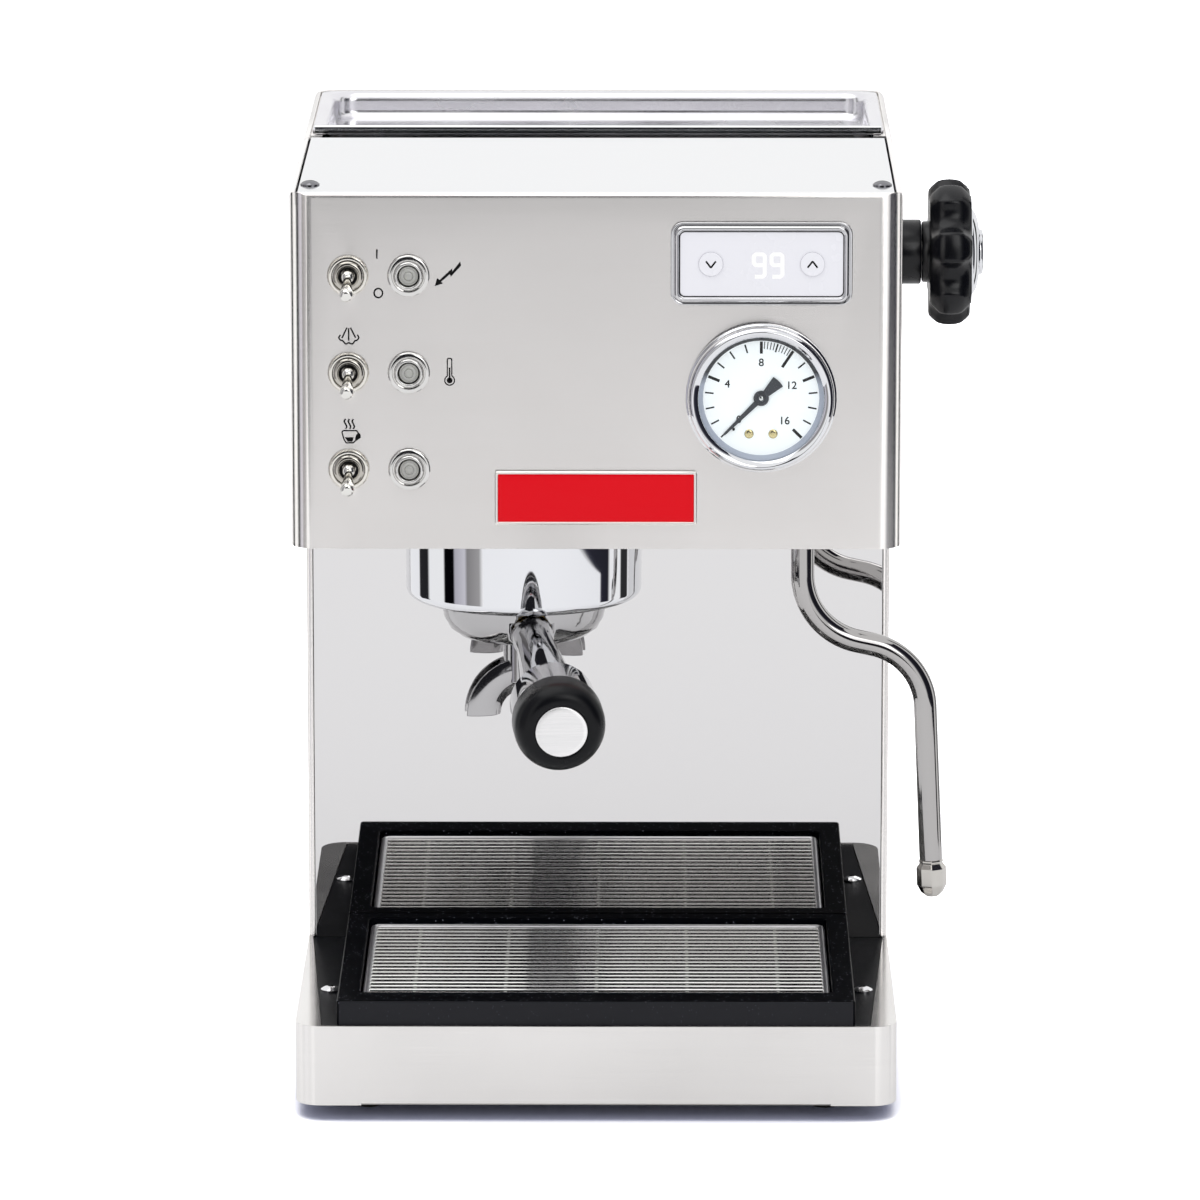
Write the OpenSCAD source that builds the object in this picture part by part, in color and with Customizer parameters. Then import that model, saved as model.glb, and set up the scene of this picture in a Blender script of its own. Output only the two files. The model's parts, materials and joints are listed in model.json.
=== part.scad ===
/* [Body] */
// Width of the casing
body_w = 230; // [200:1:260]
// Depth of the casing, front panel to back panel
body_d = 264; // [250:1:300]
// Height of the casing top above the counter
body_h = 359; // [345:1:400]
// Height of the top edge of the base
base_top = 37.5; // [34:0.5:44]
// Height of the upper front box
box_h = 135.5; // [125:0.5:145]
// Distance from the front panel back to the column front
col_y = 140; // [138:1:150]
// Distance from the front panel back to the rear edge of the top cover
seam_y = 136; // [130:1:137]
// Thickness of the casing sheet
sheet_t = 1.2; // [1:0.1:1.6]
// Radius of the upright casing corners
corner_r = 9; // [6:0.5:12]
// Radius of the bent top edges
edge_r = 2.5; // [1.5:0.1:3]
// Gap between the top cover and the casing rim
cover_gap = 0.8; // [0.4:0.1:1.2]

/* [Feet] */
// Height of the rubber feet
foot_h = 6.3; // [5:0.1:12]
// Radius of the rubber feet
foot_r = 6.8; // [6:0.1:10]
// Sideways distance of the feet from the middle
foot_x = 88; // [80:1:98]
// Distance of the feet from the front and the back
foot_inset = 26; // [18:1:32]

/* [Drip tray] */
// Width of the tray frame
tray_w = 198; // [180:1:206]
// Distance from the front panel to the tray frame
tray_y = 2; // [1:0.5:4]
// Height of the tray frame above the base plate
tray_h = 10; // [8:0.5:14]
// Side border of the tray frame
tray_side = 8.5; // [7:0.5:12]
// Front border of the tray frame
tray_front = 14; // [10:0.5:18]
// Back border of the tray frame
tray_back = 8; // [6:0.5:12]
// Depth of the basin below the base plate
basin_d = 23; // [16:0.5:25]
// Wall of the tray
tray_t = 2.5; // [2:0.1:3]
// Width of the ledge that the grille rests on
ledge_w = 3; // [2:0.5:4]
// Depth of the ledge below the frame top
ledge_d = 5; // [4:0.5:6]
// Pitch of the grille bars
bar_pitch = 5.3; // [4.5:0.1:7]
// Width of one grille bar
bar_w = 2.4; // [2:0.1:2.8]
// Pitch of the cross bars
cross_pitch = 35; // [25:1:45]

/* [Group] */
// Sideways place of the group axis
group_x = -28.4; // [-34:0.1:-20]
// Distance from the front panel to the group axis
group_y = 88; // [80:1:90]
// Radius of the chromed bell
bell_r = 45.7; // [44.5:0.1:47]
// How far the bell reaches below the box
bell_drop = 35.8; // [34:0.1:38]
// Wall of the bell
bell_t = 2.2; // [1.8:0.1:2.6]
// Bore that the filter holder enters
mouth_r = 34.4; // [34.2:0.1:35]
// Radius of the bayonet groove
groove_r = 40.2; // [39:0.1:41]
// Play between the filter holder and the group
group_gap = 0.4; // [0.3:0.05:0.5]

/* [Filter holder] */
// Turn of the handle from straight ahead when locked
handle_turn = 6.5; // [0:0.5:20]
// Downward slope of the handle
handle_slope = 7; // [4:0.5:10]
// How far the handle axis lies below the box at the group axis
handle_drop = 41.6; // [38:0.1:43]
// Distance from the group axis to the start of the neck
neck_start = 36; // [35:0.5:38]
// Length of the chromed neck
neck_len = 72; // [60:1:90]
// Radius of the neck at the filter holder
neck_r0 = 7; // [6:0.5:8]
// Radius of the neck at the ferrule
neck_r1 = 12.6; // [10:0.2:14]
// Length of the ferrule
ferrule_len = 19; // [12:1:24]
// Radius of the ferrule
ferrule_r = 16.2; // [14:0.1:17]
// Length of the black grip
grip_len = 15; // [12:1:60]
// Radius of the black grip
grip_r = 17.2; // [16:0.1:19]
// Radius of the disc in the end of the grip
disc_r = 9.85; // [8:0.05:11]
// Distance of the spout tips from the group axis
spout_reach = 18.3; // [16:0.1:20]
// How far the spout tips lie below the box
spout_drop = 82.9; // [78:0.1:86]
// Depth of the filter basket
basket_d = 20; // [18:0.5:21]

/* [Steam] */
// Distance from the front panel to the wand and valve
steam_y = 76; // [70:1:80]
// Sideways place of the wand joint
wand_x = 79.4; // [76:0.5:82]
// Radius of the wand tube
wand_r = 4.5; // [4:0.1:4.6]
// Radius of the ball on the wand
ball_r = 8; // [7.8:0.1:8.4]
// Height of the ball centre above the box floor
ball_rise = 12; // [11.5:0.1:13]
// Bend radius of the upper bend
bend_r1 = 27; // [22:1:30]
// Angle of the upper bend
bend_a1 = 78; // [72:1:84]
// Bend radius of the lower bend
bend_r2 = 26; // [22:1:30]
// Outward slant of the lower leg
leg_slant = 2.5; // [0:0.5:5]
// Start of the upper bend below the box
wand_drop = 25.5; // [20:0.5:28]
// Length between the two bends
wand_mid = 6; // [4:0.5:12]
// Length of the lower leg
wand_leg = 61; // [50:1:66]
// Length of the nozzle
nozzle_len = 14.8; // [12:0.2:18]
// Radius of the nozzle
nozzle_r = 5.9; // [5.2:0.1:7]
// How far the steam knob axis lies below the casing top
knob_drop = 34.7; // [31:0.1:41]
// Radius of the steam knob over its lobes
knob_r = 28; // [25:0.5:32]
// Thickness of the steam knob
knob_t = 16; // [13:0.5:20]
// Number of lobes on the knob
knob_lobes = 7; // [5:1:9]
// Distance of the knob from the casing
knob_gap = 12; // [11:0.5:14]
// Radius of the chromed knob cap
cap_r = 16.5; // [14:0.5:18]
// Radius of the valve spindle
spindle_r = 4; // [3:0.1:5]
// Running clearance of shafts
run_gap = 0.05; // [0.02:0.01:0.08]

/* [Front panel] */
// Sideways place of the toggle switches
toggle_x = -92.8; // [-96:0.2:-90]
// Sideways place of the indicator lamps
lamp_x = -70.1; // [-72:0.2:-67]
// How far the top switch row lies below the casing top
row_drop = 31.2; // [28:0.1:36]
// Pitch of the switch rows
row_pitch = 36.9; // [32:0.1:39]
// Radius of the knurled nuts
nut_r = 7.8; // [7:0.1:9]
// Length of the toggle levers
lever_len = 17; // [14:0.5:20]
// Downward tilt of the levers at rest
lever_tilt = 17; // [12:1:20]
// Radius of the lamp bezels
lamp_r = 7.95; // [7:0.05:9]
// Radius of the lamp lenses
lens_r = 3.95; // [3:0.05:4]
// Sideways place of the display and gauge
panel_x = 62; // [58:0.5:66]
// How far the display centre lies below the casing top
display_drop = 26.5; // [24:0.5:31]
// Width of the display bezel
display_w = 68; // [60:0.5:72]
// Height of the display bezel
display_h = 31.5; // [26:0.5:34]
// Width of the display bezel's rim
display_rim = 3.3; // [2:0.1:4]
// Radius of the display buttons
button_r = 4.55; // [3.5:0.05:5]
// Distance of the buttons from the display centre
button_x = 19; // [16:0.5:23]
// Travel room behind the buttons
button_play = 0.8; // [0.6:0.1:1]
// How far the gauge centre lies below the casing top
gauge_drop = 77.3; // [75:0.1:83]
// Radius of the gauge bezel
gauge_r = 28.35; // [26:0.05:31]
// Radius of the gauge window
gauge_win = 23.6; // [20:0.1:24]
// Length of the needle point
needle_len = 20; // [14:0.5:21]
// Width of the badge plate
badge_w = 76; // [60:1:84]
// Height of the badge plate
badge_h = 20.6; // [16:0.2:24]
// Height of the badge centre above the box's lower edge
badge_rise = 19.7; // [14:0.1:26]

/* [Water] */
// Wall of the water tank
tank_t = 2.2; // [1.8:0.1:3]
// Gap between the tank and the casing on each side
tank_gap = 9; // [8:0.5:14]
// Gap between the tank and the underside of its lid
lid_room = 9.8; // [6:0.1:14]
// Height of the water tank
tank_h = 148; // [120:1:152]
// Depth of the cup tray pan
pan_d = 10; // [8:0.5:14]
// Distance from the front panel to the lip of the tank lid
lip_y = 152; // [150:0.5:156]
// Height of the rolled lip above the casing top
lip_h = 2.3; // [1:0.1:3]
// Radius of the boiler
boiler_r = 35.5; // [32:0.5:35.5]
// Height of the boiler
boiler_h = 86; // [70:1:88]
// Bore of the cord bushing
cord_r = 4; // [3:0.1:5]

/* [Hidden] */
$fn = 64;
e = 0.01;
big = 400;
half_w = body_w / 2;
side_in = half_w - sheet_t;

// reach of the outermost pieces, for the middle of the whole outline
cap_out = half_w + knob_gap + knob_t + 5;
handle_len = neck_start + neck_len + ferrule_len + grip_len;
handle_out = handle_len * cos(handle_slope) * cos(handle_turn);
gland_out = 4;
mid_x = (cap_out - half_w) / 2;
mid_y = (body_d + gland_out + group_y - handle_out) / 2;

// levels of the head, which hang from the casing top
box_z = body_h - box_h;
bell_z = box_z - bell_drop;
handle_z = box_z - handle_drop;
spout_z = box_z - spout_drop;
wand_drop_z = box_z - wand_drop;
knob_z = body_h - knob_drop;
display_z = body_h - display_drop;
gauge_z = body_h - gauge_drop;
badge_z = box_z + badge_rise;

// rows of the switches and lamps, counted from the lowest
rows = [2, 1, 0];
row_z = body_h - row_drop - 2 * row_pitch;
function row_height(i) = row_z + i * row_pitch;

// group levels
ring_z = bell_z + 2.5;
lug_z = ring_z + 5.2;
ear_z = lug_z + group_gap;
ear_t = 4.6;
rim_z = ear_z + ear_t;
basket_rim = 0.6;
gasket_z = rim_z + basket_rim + 0.3;
gasket_t = 7.7;
boss_r = 26.3;
head_top = box_z + sheet_t;
bowl_r = mouth_r - group_gap;
bowl_in = 29.6;
bowl_z = bell_z - 16.2;

// heights of the tray pieces
plate_t = 1.5;
plate_z = base_top - 0.5;
frame_z = plate_z + tray_h;
tray_y1 = col_y - 0.4;
open_w = tray_w - 2 * tray_side;
open_y0 = tray_y + tray_front;
open_y1 = tray_y1 - tray_back;
ledge_z = frame_z - ledge_d;
basin_z = plate_z - basin_d;
grille_gap = 0.6;
grille_h = 3;

// levels at the top
rim_w = edge_r + 0.1;
cover_w = body_w - 2 * (rim_w + cover_gap);
ledge_in = 6;
lid_flange = 1.2;
lid_w = body_w - 2 * (rim_w + 0.5);
lid_y1 = body_d - rim_w - 0.5;
lid_z = body_h - lid_flange;
pan_w = lid_w - 9;
ball_z = box_z + sheet_t + ball_rise;
tank_stand = 4;
tank_z = body_h - pan_d - sheet_t - lid_room - tank_h;
shelf_z = tank_z - tank_stand;
tank_y0 = 158;
tank_w = body_w - 2 * (sheet_t + tank_gap + 0.8);
tank_y1 = body_d - 8;
spigot = [70, 200];
spigot_r = 6;

// Moves the machine so that the middle of its outline is over the origin.
module placed() {
  translate([-mid_x, -mid_y, 0]) children();
}

// Lays a turned part on the front panel with its +Z pointing outwards.
module facing(x, z) {
  translate([x, 0, z]) rotate([90, 0, 0]) children();
}

// Lays a turned part on the right side with its +Z pointing outwards.
module sideways(y, z) {
  translate([half_w, y, z]) rotate([0, 90, 0]) children();
}

// Plan with round corners between y0 and y1, centred sideways.
module plan(w, y0, y1, r) {
  translate([-w / 2 + r, y0]) square([w - 2 * r, y1 - y0]);
  translate([-w / 2, y0 + r]) square([w, y1 - y0 - 2 * r]);
  for (x = [-w / 2 + r, w / 2 - r], y = [y0 + r, y1 - r]) translate([x, y]) circle(r);
}

// Solid block of the casing with bent upright corners and bent top edges.
module casing_block(y0, z0) {
  intersection() {
    translate([0, 0, z0]) linear_extrude(body_h - z0) plan(body_w, y0, body_d, corner_r);
    translate([0, big, 0]) rotate([90, 0, 0]) linear_extrude(2 * big) {
      translate([-half_w, z0 - 1]) square([body_w, body_h - edge_r - z0 + 1]);
      translate([-half_w + edge_r, z0 - 1]) square([body_w - 2 * edge_r, body_h - z0 + 1]);
      for (x = [-1, 1]) translate([x * (half_w - edge_r), body_h - edge_r]) circle(edge_r);
    }
  }
}

// Hollow of the casing, which leaves the sheet and the turned-in rim.
module casing_hollow(y0, z0) {
  translate([0, 0, z0 - 1])
    linear_extrude(body_h - z0 + 1 - sheet_t)
      plan(body_w - 2 * sheet_t, y0 + sheet_t, body_d - sheet_t, corner_r - sheet_t);
}

module row_of_screws(x, y, z, head_r, head_h, shank_r, shank_l) {
  translate([x, y, z]) {
    intersection() {
      cylinder(r = head_r, h = head_h);
      translate([0, 0, head_h - head_r * 1.6]) sphere(head_r * 1.6);
    }
    translate([0, 0, -shank_l]) cylinder(r = shank_r, h = shank_l + e);
  }
}

module base_shell() {
  color("silver") placed() difference() {
    translate([0, 0, foot_h]) linear_extrude(base_top - foot_h)
      plan(body_w, 0, body_d, corner_r + 0.6);
    translate([0, 0, foot_h - 1]) linear_extrude(base_top - foot_h - 2 * sheet_t + 1)
      plan(body_w - 2 * sheet_t, sheet_t, body_d - sheet_t, corner_r);
    // seat of the black plate, which widens towards the column
    translate([0, 0, plate_z - plate_t]) linear_extrude(big) plate_plan(0.2);
    for (s = [-1, 1]) translate([s * screw_x, screw_y, 0]) cylinder(r = 2 + run_gap, h = big);
    // opening below the plate for the tray and the works
    translate([0, 0, foot_h]) linear_extrude(big)
      translate([-half_w + 14, 12]) square([body_w - 28, body_d - 12 - 8]);
    // hem of the front's lower edge, a little higher than the folded corners
    translate([-hem_x, -1, 0]) cube([2 * hem_x, sheet_t + 2, foot_h + 0.8]);
    bushing_slot();
  }
}

module plate_plan(gap) {
  polygon([
    [-half_w + 10.4 - gap, 2 - gap], [half_w - 10.4 + gap, 2 - gap],
    [half_w - 1.9 + gap, col_y], [half_w - 1.9, body_d - 4],
    [-half_w + 1.9, body_d - 4], [-half_w + 1.9 - gap, col_y]]);
}

hem_x = half_w - 25.3;
screw_x = half_w - 11.8;
screw_y = 56;
basin_gap = 1;
module base_plate() {
  color([0.1, 0.1, 0.12]) placed() difference() {
    translate([0, 0, plate_z - plate_t]) linear_extrude(plate_t) plate_plan(0);
    translate([0, 0, plate_z - plate_t - 1]) linear_extrude(plate_t + 2) {
      translate([-basin_w / 2 - basin_gap, basin_y0 - basin_gap])
        square([basin_w + 2 * basin_gap, basin_y1 - basin_y0 + 2 * basin_gap]);
      // room for the works inside the column
      translate([-half_w + 16, col_y + 10]) square([body_w - 32, body_d - col_y - 24]);
      for (s = [-1, 1]) translate([s * screw_x, screw_y]) circle(2.2);
    }
  }
}

module bottom_cover() {
  color("gray") placed() difference() {
    translate([0, 0, foot_h]) linear_extrude(sheet_t)
      plan(body_w - 2 * sheet_t - 0.4, sheet_t + 0.2, body_d - sheet_t - 0.2, corner_r - 0.2);
    for (i = [-4:4]) translate([i * 12 - 3, 170, foot_h - 1]) cube([6, 60, sheet_t + 2]);
  }
}

module feet() {
  color([0.15, 0.15, 0.15]) placed()
    for (x = [-foot_x, foot_x], y = [foot_inset, body_d - foot_inset]) translate([x, y, 0])
      rotate_extrude() polygon([[0, 0], [foot_r - 1.5, 0], [foot_r - 0.5, 0.8],
        [foot_r, foot_h], [0, foot_h]]);
}

// The column's bright front, held between the bent edges of the casing.
module column_panel() {
  color("lightgray") placed()
    translate([-half_w + edge_r + 0.2, col_y, plate_z])
      cube([body_w - 2 * edge_r - 0.4, sheet_t, box_z - plate_z + 20]);
}

module body_casing() {
  color("silver") placed() difference() {
    union() {
      intersection() {
        difference() {
          casing_block(0, base_top);
          casing_hollow(0, base_top);
        }
        union() {
          translate([-big, col_y + edge_r, 0]) cube([2 * big, big, box_z]);
          translate([-big, seam_y + 0.4, box_z]) cube([2 * big, big, big]);
        }
      }
      // bent front edges of the column sides
      for (s = [0, 1]) mirror([s, 0, 0]) translate([half_w - edge_r, col_y + edge_r, base_top])
        intersection() {
          cylinder(r = edge_r, h = box_z - base_top);
          translate([0, -edge_r, 0]) cube([edge_r, edge_r + e, big]);
        }
      // ledge that the tank lid rests on
      translate([0, 0, lid_z - sheet_t - 0.2]) linear_extrude(sheet_t) difference() {
        translate([-side_in - 0.3, lip_y - 2]) square([body_w - 2 * sheet_t + 0.6, body_d - lip_y + 1]);
        translate([-side_in + ledge_in, lip_y - 3])
          square([body_w - 2 * sheet_t - 2 * ledge_in, body_d - lip_y + 3 - ledge_in]);
      }
    }
    // opening of the tank lid
    translate([0, 0, lid_z - 0.2]) linear_extrude(big)
      plan(body_w - 2 * rim_w, seam_y - 20, body_d - rim_w, corner_r - rim_w);
    // air slots of the back panel
    for (i = [-6:6]) translate([i * 12 - 1.5, body_d - 5, 120]) cube([3, 10, 50]);
  }
}

// Square slot in the lower back edge that the cord's bushing is pushed into,
// before the bottom sheet closes it.
gland_x = -70;
gland_z = foot_h + cord_r + 6;
module bushing_slot() {
  slot_w = 2 * (cord_r + 3);
  translate([gland_x - slot_w / 2, body_d - 10, 0]) cube([slot_w, 20, gland_z + slot_w / 2]);
}

module cord_gland() {
  color([0.1, 0.1, 0.1]) placed()
    translate([gland_x, body_d, gland_z]) rotate([-90, 0, 0]) difference() {
      union() {
        cylinder(r = cord_r + 5, h = gland_out);
        translate([0, 0, -12]) cylinder(r = cord_r + 2.9, h = 12 + e);
        translate([0, 0, -5]) cylinder(r = cord_r + 4.4, h = 3.6);
      }
      translate([0, 0, -13]) cylinder(r = cord_r, h = 13 + gland_out + 1);
    }
}

module front_panel() {
  color("silver") placed() difference() {
    intersection() {
      difference() {
        casing_block(0, box_z);
        casing_hollow(0, box_z);
      }
      translate([-big, -1, 0]) cube([2 * big, seam_y + 1, big]);
      // bent top edge of the front
      translate([-big, 0, 0]) rotate([90, 0, 90]) linear_extrude(2 * big) {
        translate([0, box_z - 1]) square([big, body_h - box_z - 1]);
        translate([2, box_z - 1]) square([big, body_h - box_z + 1]);
        translate([2, body_h - 2]) circle(2);
      }
    }
    translate([-half_w + rim_w, rim_w, body_h - 5]) cube([body_w - 2 * rim_w, big, 10]);
    for (i = rows) {
      facing(toggle_x, row_height(i)) translate([0, 0, -5]) cylinder(r = bush_r + 0.2, h = 10);
      facing(lamp_x, row_height(i)) translate([0, 0, -5]) cylinder(r = lamp_r - 1.85, h = 10);
    }
    facing(panel_x, gauge_z) translate([0, 0, -5]) cylinder(r = case_r + 0.3, h = 10);
    translate([panel_x - window_w / 2, -5, display_z - window_h / 2])
      cube([window_w, 10, window_h]);
    sideways(steam_y, knob_z) translate([0, 0, -5]) cylinder(r = neck_bore + 3.3, h = 10);
  }
}

// Floor of the upper box with the holes of the group and the wand.
module box_floor() {
  color("silver") placed() difference() {
    translate([0, 0, box_z]) linear_extrude(sheet_t)
      plan(body_w - 2 * sheet_t - 0.2, sheet_t + 0.1, body_d, corner_r - sheet_t);
    translate([-big, col_y - 0.4, box_z - 1]) cube([2 * big, big, 4]);
    translate([group_x, group_y, box_z - 1]) cylinder(r = throat_r + 0.3, h = 4);
    for (a = bolt_angles) translate([group_x, group_y, box_z - 1]) rotate(a)
      translate([bolt_circle, 0, 0]) cylinder(r = bolt_r + 0.2, h = 4);
    translate([wand_x, steam_y, box_z - 1]) cylinder(r = ball_r + 0.5, h = 4);
  }
}

cover_screw_x = half_w - 7.5;
cover_screw_y = 20;
module top_cover() {
  color([0.85, 0.85, 0.87]) placed() difference() {
    union() {
      translate([-cover_w / 2, rim_w + 0.2, body_h - sheet_t])
        cube([cover_w, seam_y - rim_w - 0.2, sheet_t]);
      // flanges folded down behind the front panel and at the back edge
      translate([-cover_w / 2 + 6, rim_w + 0.2, body_h - 9]) cube([cover_w - 12, sheet_t, 9]);
      translate([-cover_w / 2 + 2, seam_y - sheet_t, body_h - 12]) cube([cover_w - 4, sheet_t, 12]);
    }
    for (s = [-1, 1]) translate([s * cover_screw_x, cover_screw_y, body_h - 5])
      cylinder(r = 2.2, h = 10);
  }
}

// Two slotted screws that hold the top cover on the box's corner brackets.
module cover_screws() {
  for (s = [-1, 1]) difference() {
    union() {
      row_of_screws(s * cover_screw_x, cover_screw_y, body_h, 3.65, 1.7, 2, 8);
      translate([s * cover_screw_x - 4, cover_screw_y - 5, body_h - sheet_t - 3])
        cube([8, 10, 2.9]);
    }
    translate([s * cover_screw_x - 5, cover_screw_y - 0.45, body_h + 0.8]) cube([10, 0.9, 5]);
  }
}

// Hex-socket button heads of the base plate.
module plate_screws() {
  for (s = [-1, 1]) difference() {
    row_of_screws(s * screw_x, screw_y, plate_z, 3.85, 2.1, 2, 8);
    translate([s * screw_x, screw_y, plate_z + 0.8]) cylinder(r = 1.3, h = 3, $fn = 6);
  }
}

module casing_screws() {
  color("silver") placed() {
    cover_screws();
    plate_screws();
  }
}

module tank_shelf() {
  color("gray") placed() difference() {
    union() {
      translate([0, 0, shelf_z]) linear_extrude(sheet_t)
        plan(2 * side_in - 0.4, lip_y - 2, body_d - sheet_t - 0.2, corner_r - sheet_t);
      translate([-side_in + 0.2, lip_y - 2, shelf_z])
        cube([2 * side_in - 0.4, sheet_t, tank_h]);
    }
    translate([spigot[0], spigot[1], shelf_z - 1]) cylinder(r = spigot_r + 3, h = 4);
  }
}

module tank_socket() {
  color([0.2, 0.2, 0.2]) placed() translate([spigot[0], spigot[1], shelf_z]) difference() {
    union() {
      translate([0, 0, sheet_t]) cylinder(r = spigot_r + 6, h = 1.6);
      translate([0, 0, -14]) cylinder(r = spigot_r + 2.8, h = 14 + sheet_t + e);
    }
    translate([0, 0, -10]) cylinder(r = spigot_r + 0.1, h = 20);
    translate([0, 0, -15]) cylinder(r = 3, h = 10);
  }
}

module water_tank() {
  color([0.8, 0.88, 0.92]) placed() union() {
    difference() {
      translate([0, 0, tank_z]) linear_extrude(tank_h) plan(tank_w, tank_y0, tank_y1, 8);
      translate([0, 0, tank_z + tank_t]) linear_extrude(tank_h)
        plan(tank_w - 2 * tank_t, tank_y0 + tank_t, tank_y1 - tank_t, 8 - tank_t);
      // grip hollows at both ends of the rim
      for (s = [-1, 1]) translate([s * tank_w / 2, (tank_y0 + tank_y1) / 2, tank_z + tank_h])
        rotate([0, 90, 0]) cylinder(r = 14, h = 20, center = true);
      translate([spigot[0], spigot[1], tank_z - 1]) cylinder(r = 3, h = 10);
    }
    // outlet spigot and the ribs that stand on the shelf
    translate([spigot[0], spigot[1], shelf_z - 8]) difference() {
      cylinder(r = spigot_r, h = tank_z - shelf_z + 8 + e);
      translate([0, 0, -1]) cylinder(r = 3, h = 20);
    }
    for (x = [-80, -20, 40]) translate([x, tank_y0 + 12, shelf_z + sheet_t + 0.2])
      cube([tank_t, tank_y1 - tank_y0 - 24, tank_z - shelf_z - sheet_t]);
  }
}

// Pressed lid over the tank, which is also the tray for warming cups.
module tank_lid() {
  color([0.8, 0.8, 0.82]) placed() union() {
    difference() {
      union() {
        translate([0, 0, lid_z]) linear_extrude(lid_flange)
          plan(lid_w, lip_y, lid_y1, corner_r - rim_w);
        translate([0, 0, body_h - pan_d - sheet_t]) linear_extrude(pan_d)
          plan(pan_w, lip_y + 3, lid_y1 - 4.5, 10);
      }
      translate([0, 0, body_h - pan_d]) linear_extrude(big)
        plan(pan_w - 2 * sheet_t, lip_y + 3 + sheet_t, lid_y1 - 4.5 - sheet_t, 10 - sheet_t);
    }
    // rolled front lip
    translate([-lid_w / 2 + 1, lip_y, body_h]) difference() {
      translate([0, 0, -1]) cube([lid_w - 2, sheet_t + 0.8, lip_h + 1]);
      translate([-1, sheet_t + 0.8, lip_h]) rotate([0, 90, 0]) cylinder(r = 0.6, h = lid_w + 2);
    }
  }
}

// Chromed bell: an outer wall with a round bottom edge and a lip turned in.
bell_edge = 4;
bell_mouth = 36;
module group_bell() {
  color([0.8, 0.8, 0.82]) placed() translate([group_x, group_y, 0]) rotate_extrude($fn = 96)
    difference() {
      union() {
        translate([bell_mouth, bell_z]) square([bell_r - bell_edge - bell_mouth, box_z - bell_z]);
        translate([bell_mouth, bell_z + bell_edge])
          square([bell_r - bell_mouth, box_z - bell_z - bell_edge]);
        translate([bell_r - bell_edge, bell_z + bell_edge]) circle(bell_edge);
      }
      translate([0, bell_z + bell_t]) square([bell_r - bell_t, big]);
    }
}

throat_r = 30;
bolt_circle = 40;
bolt_r = 2;
bolt_angles = [45, 135, 225, 315];
head_r = bell_r - bell_t - 0.3;
ear_angle = 30;
slot_turn = -45;
module group_head() {
  color([0.75, 0.65, 0.4]) placed() translate([group_x, group_y, 0]) difference() {
    union() {
      translate([0, 0, ring_z]) cylinder(r = head_r, h = box_z - ring_z);
      translate([0, 0, box_z - e]) cylinder(r = throat_r, h = sheet_t + e);
    }
    difference() {
      translate([0, 0, ring_z - 1]) cylinder(r = mouth_r, h = gasket_z + gasket_t - ring_z + 1);
      translate([0, 0, gasket_z + 3.9]) cylinder(r = boss_r, h = 10);
    }
    translate([0, 0, lug_z]) cylinder(r = groove_r, h = rim_z + 1.2 - lug_z);
    // two gates that let the ears in at the unlocked turn
    for (a = [0, 180]) rotate(handle_turn + slot_turn + a - ear_angle / 2 - 3)
      translate([0, 0, ring_z - 1]) rotate_extrude(angle = ear_angle + 6)
        translate([mouth_r - 1, 0]) square([groove_r - mouth_r + 1, lug_z - ring_z + 2]);
    for (a = bolt_angles) rotate(a) translate([bolt_circle, 0, box_z - 9])
      cylinder(r = bolt_r + 0.05, h = 20);
    // water way and the thread of the screen's screw
    translate([0, 0, gasket_z]) cylinder(r = 2.6, h = 12);
    translate([12, 0, gasket_z]) cylinder(r = 2, h = 40);
  }
}

module group_gasket() {
  color([0.15, 0.15, 0.15]) placed() translate([group_x, group_y, gasket_z]) difference() {
    cylinder(r = mouth_r - 0.2, h = gasket_t);
    translate([0, 0, -1]) cylinder(r = boss_r + 0.2, h = gasket_t + 2);
  }
}

screen_h = 3;
module shower_screen() {
  color("silver") placed() translate([group_x, group_y, gasket_z + 0.9]) difference() {
    cylinder(r = boss_r - 0.3, h = screen_h);
    translate([0, 0, 0.8]) cylinder(r = boss_r - 1.1, h = screen_h);
    translate([0, 0, -1]) cylinder(r = 2.7, h = 5);
    for (r = [9, 16, 22], i = [0:1:r - 1]) rotate(i * 360 / r)
      translate([r, 0, -1]) cylinder(r = 0.7, h = 3, $fn = 16);
  }
}

module shower_screw() {
  color("silver") placed() translate([group_x, group_y, gasket_z + 0.9]) difference() {
    union() {
      translate([0, 0, -0.9]) cylinder(r1 = 3.6, r2 = 4.6, h = 0.9);
      cylinder(r = 2.5, h = 10);
    }
    translate([0, 0, -1]) cylinder(r = 1.5, h = 2.5, $fn = 6);
  }
}

// Puts a piece on the filter holder, turned with the handle.
module on_holder() {
  translate([group_x, group_y, 0]) rotate(handle_turn) children();
}

// Lays a turned piece along the handle, with +Z towards the grip.
module along_handle(from) {
  on_holder() translate([0, 0, handle_z]) rotate([90 + handle_slope, 0, 0])
    translate([0, 0, from]) children();
}

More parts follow.
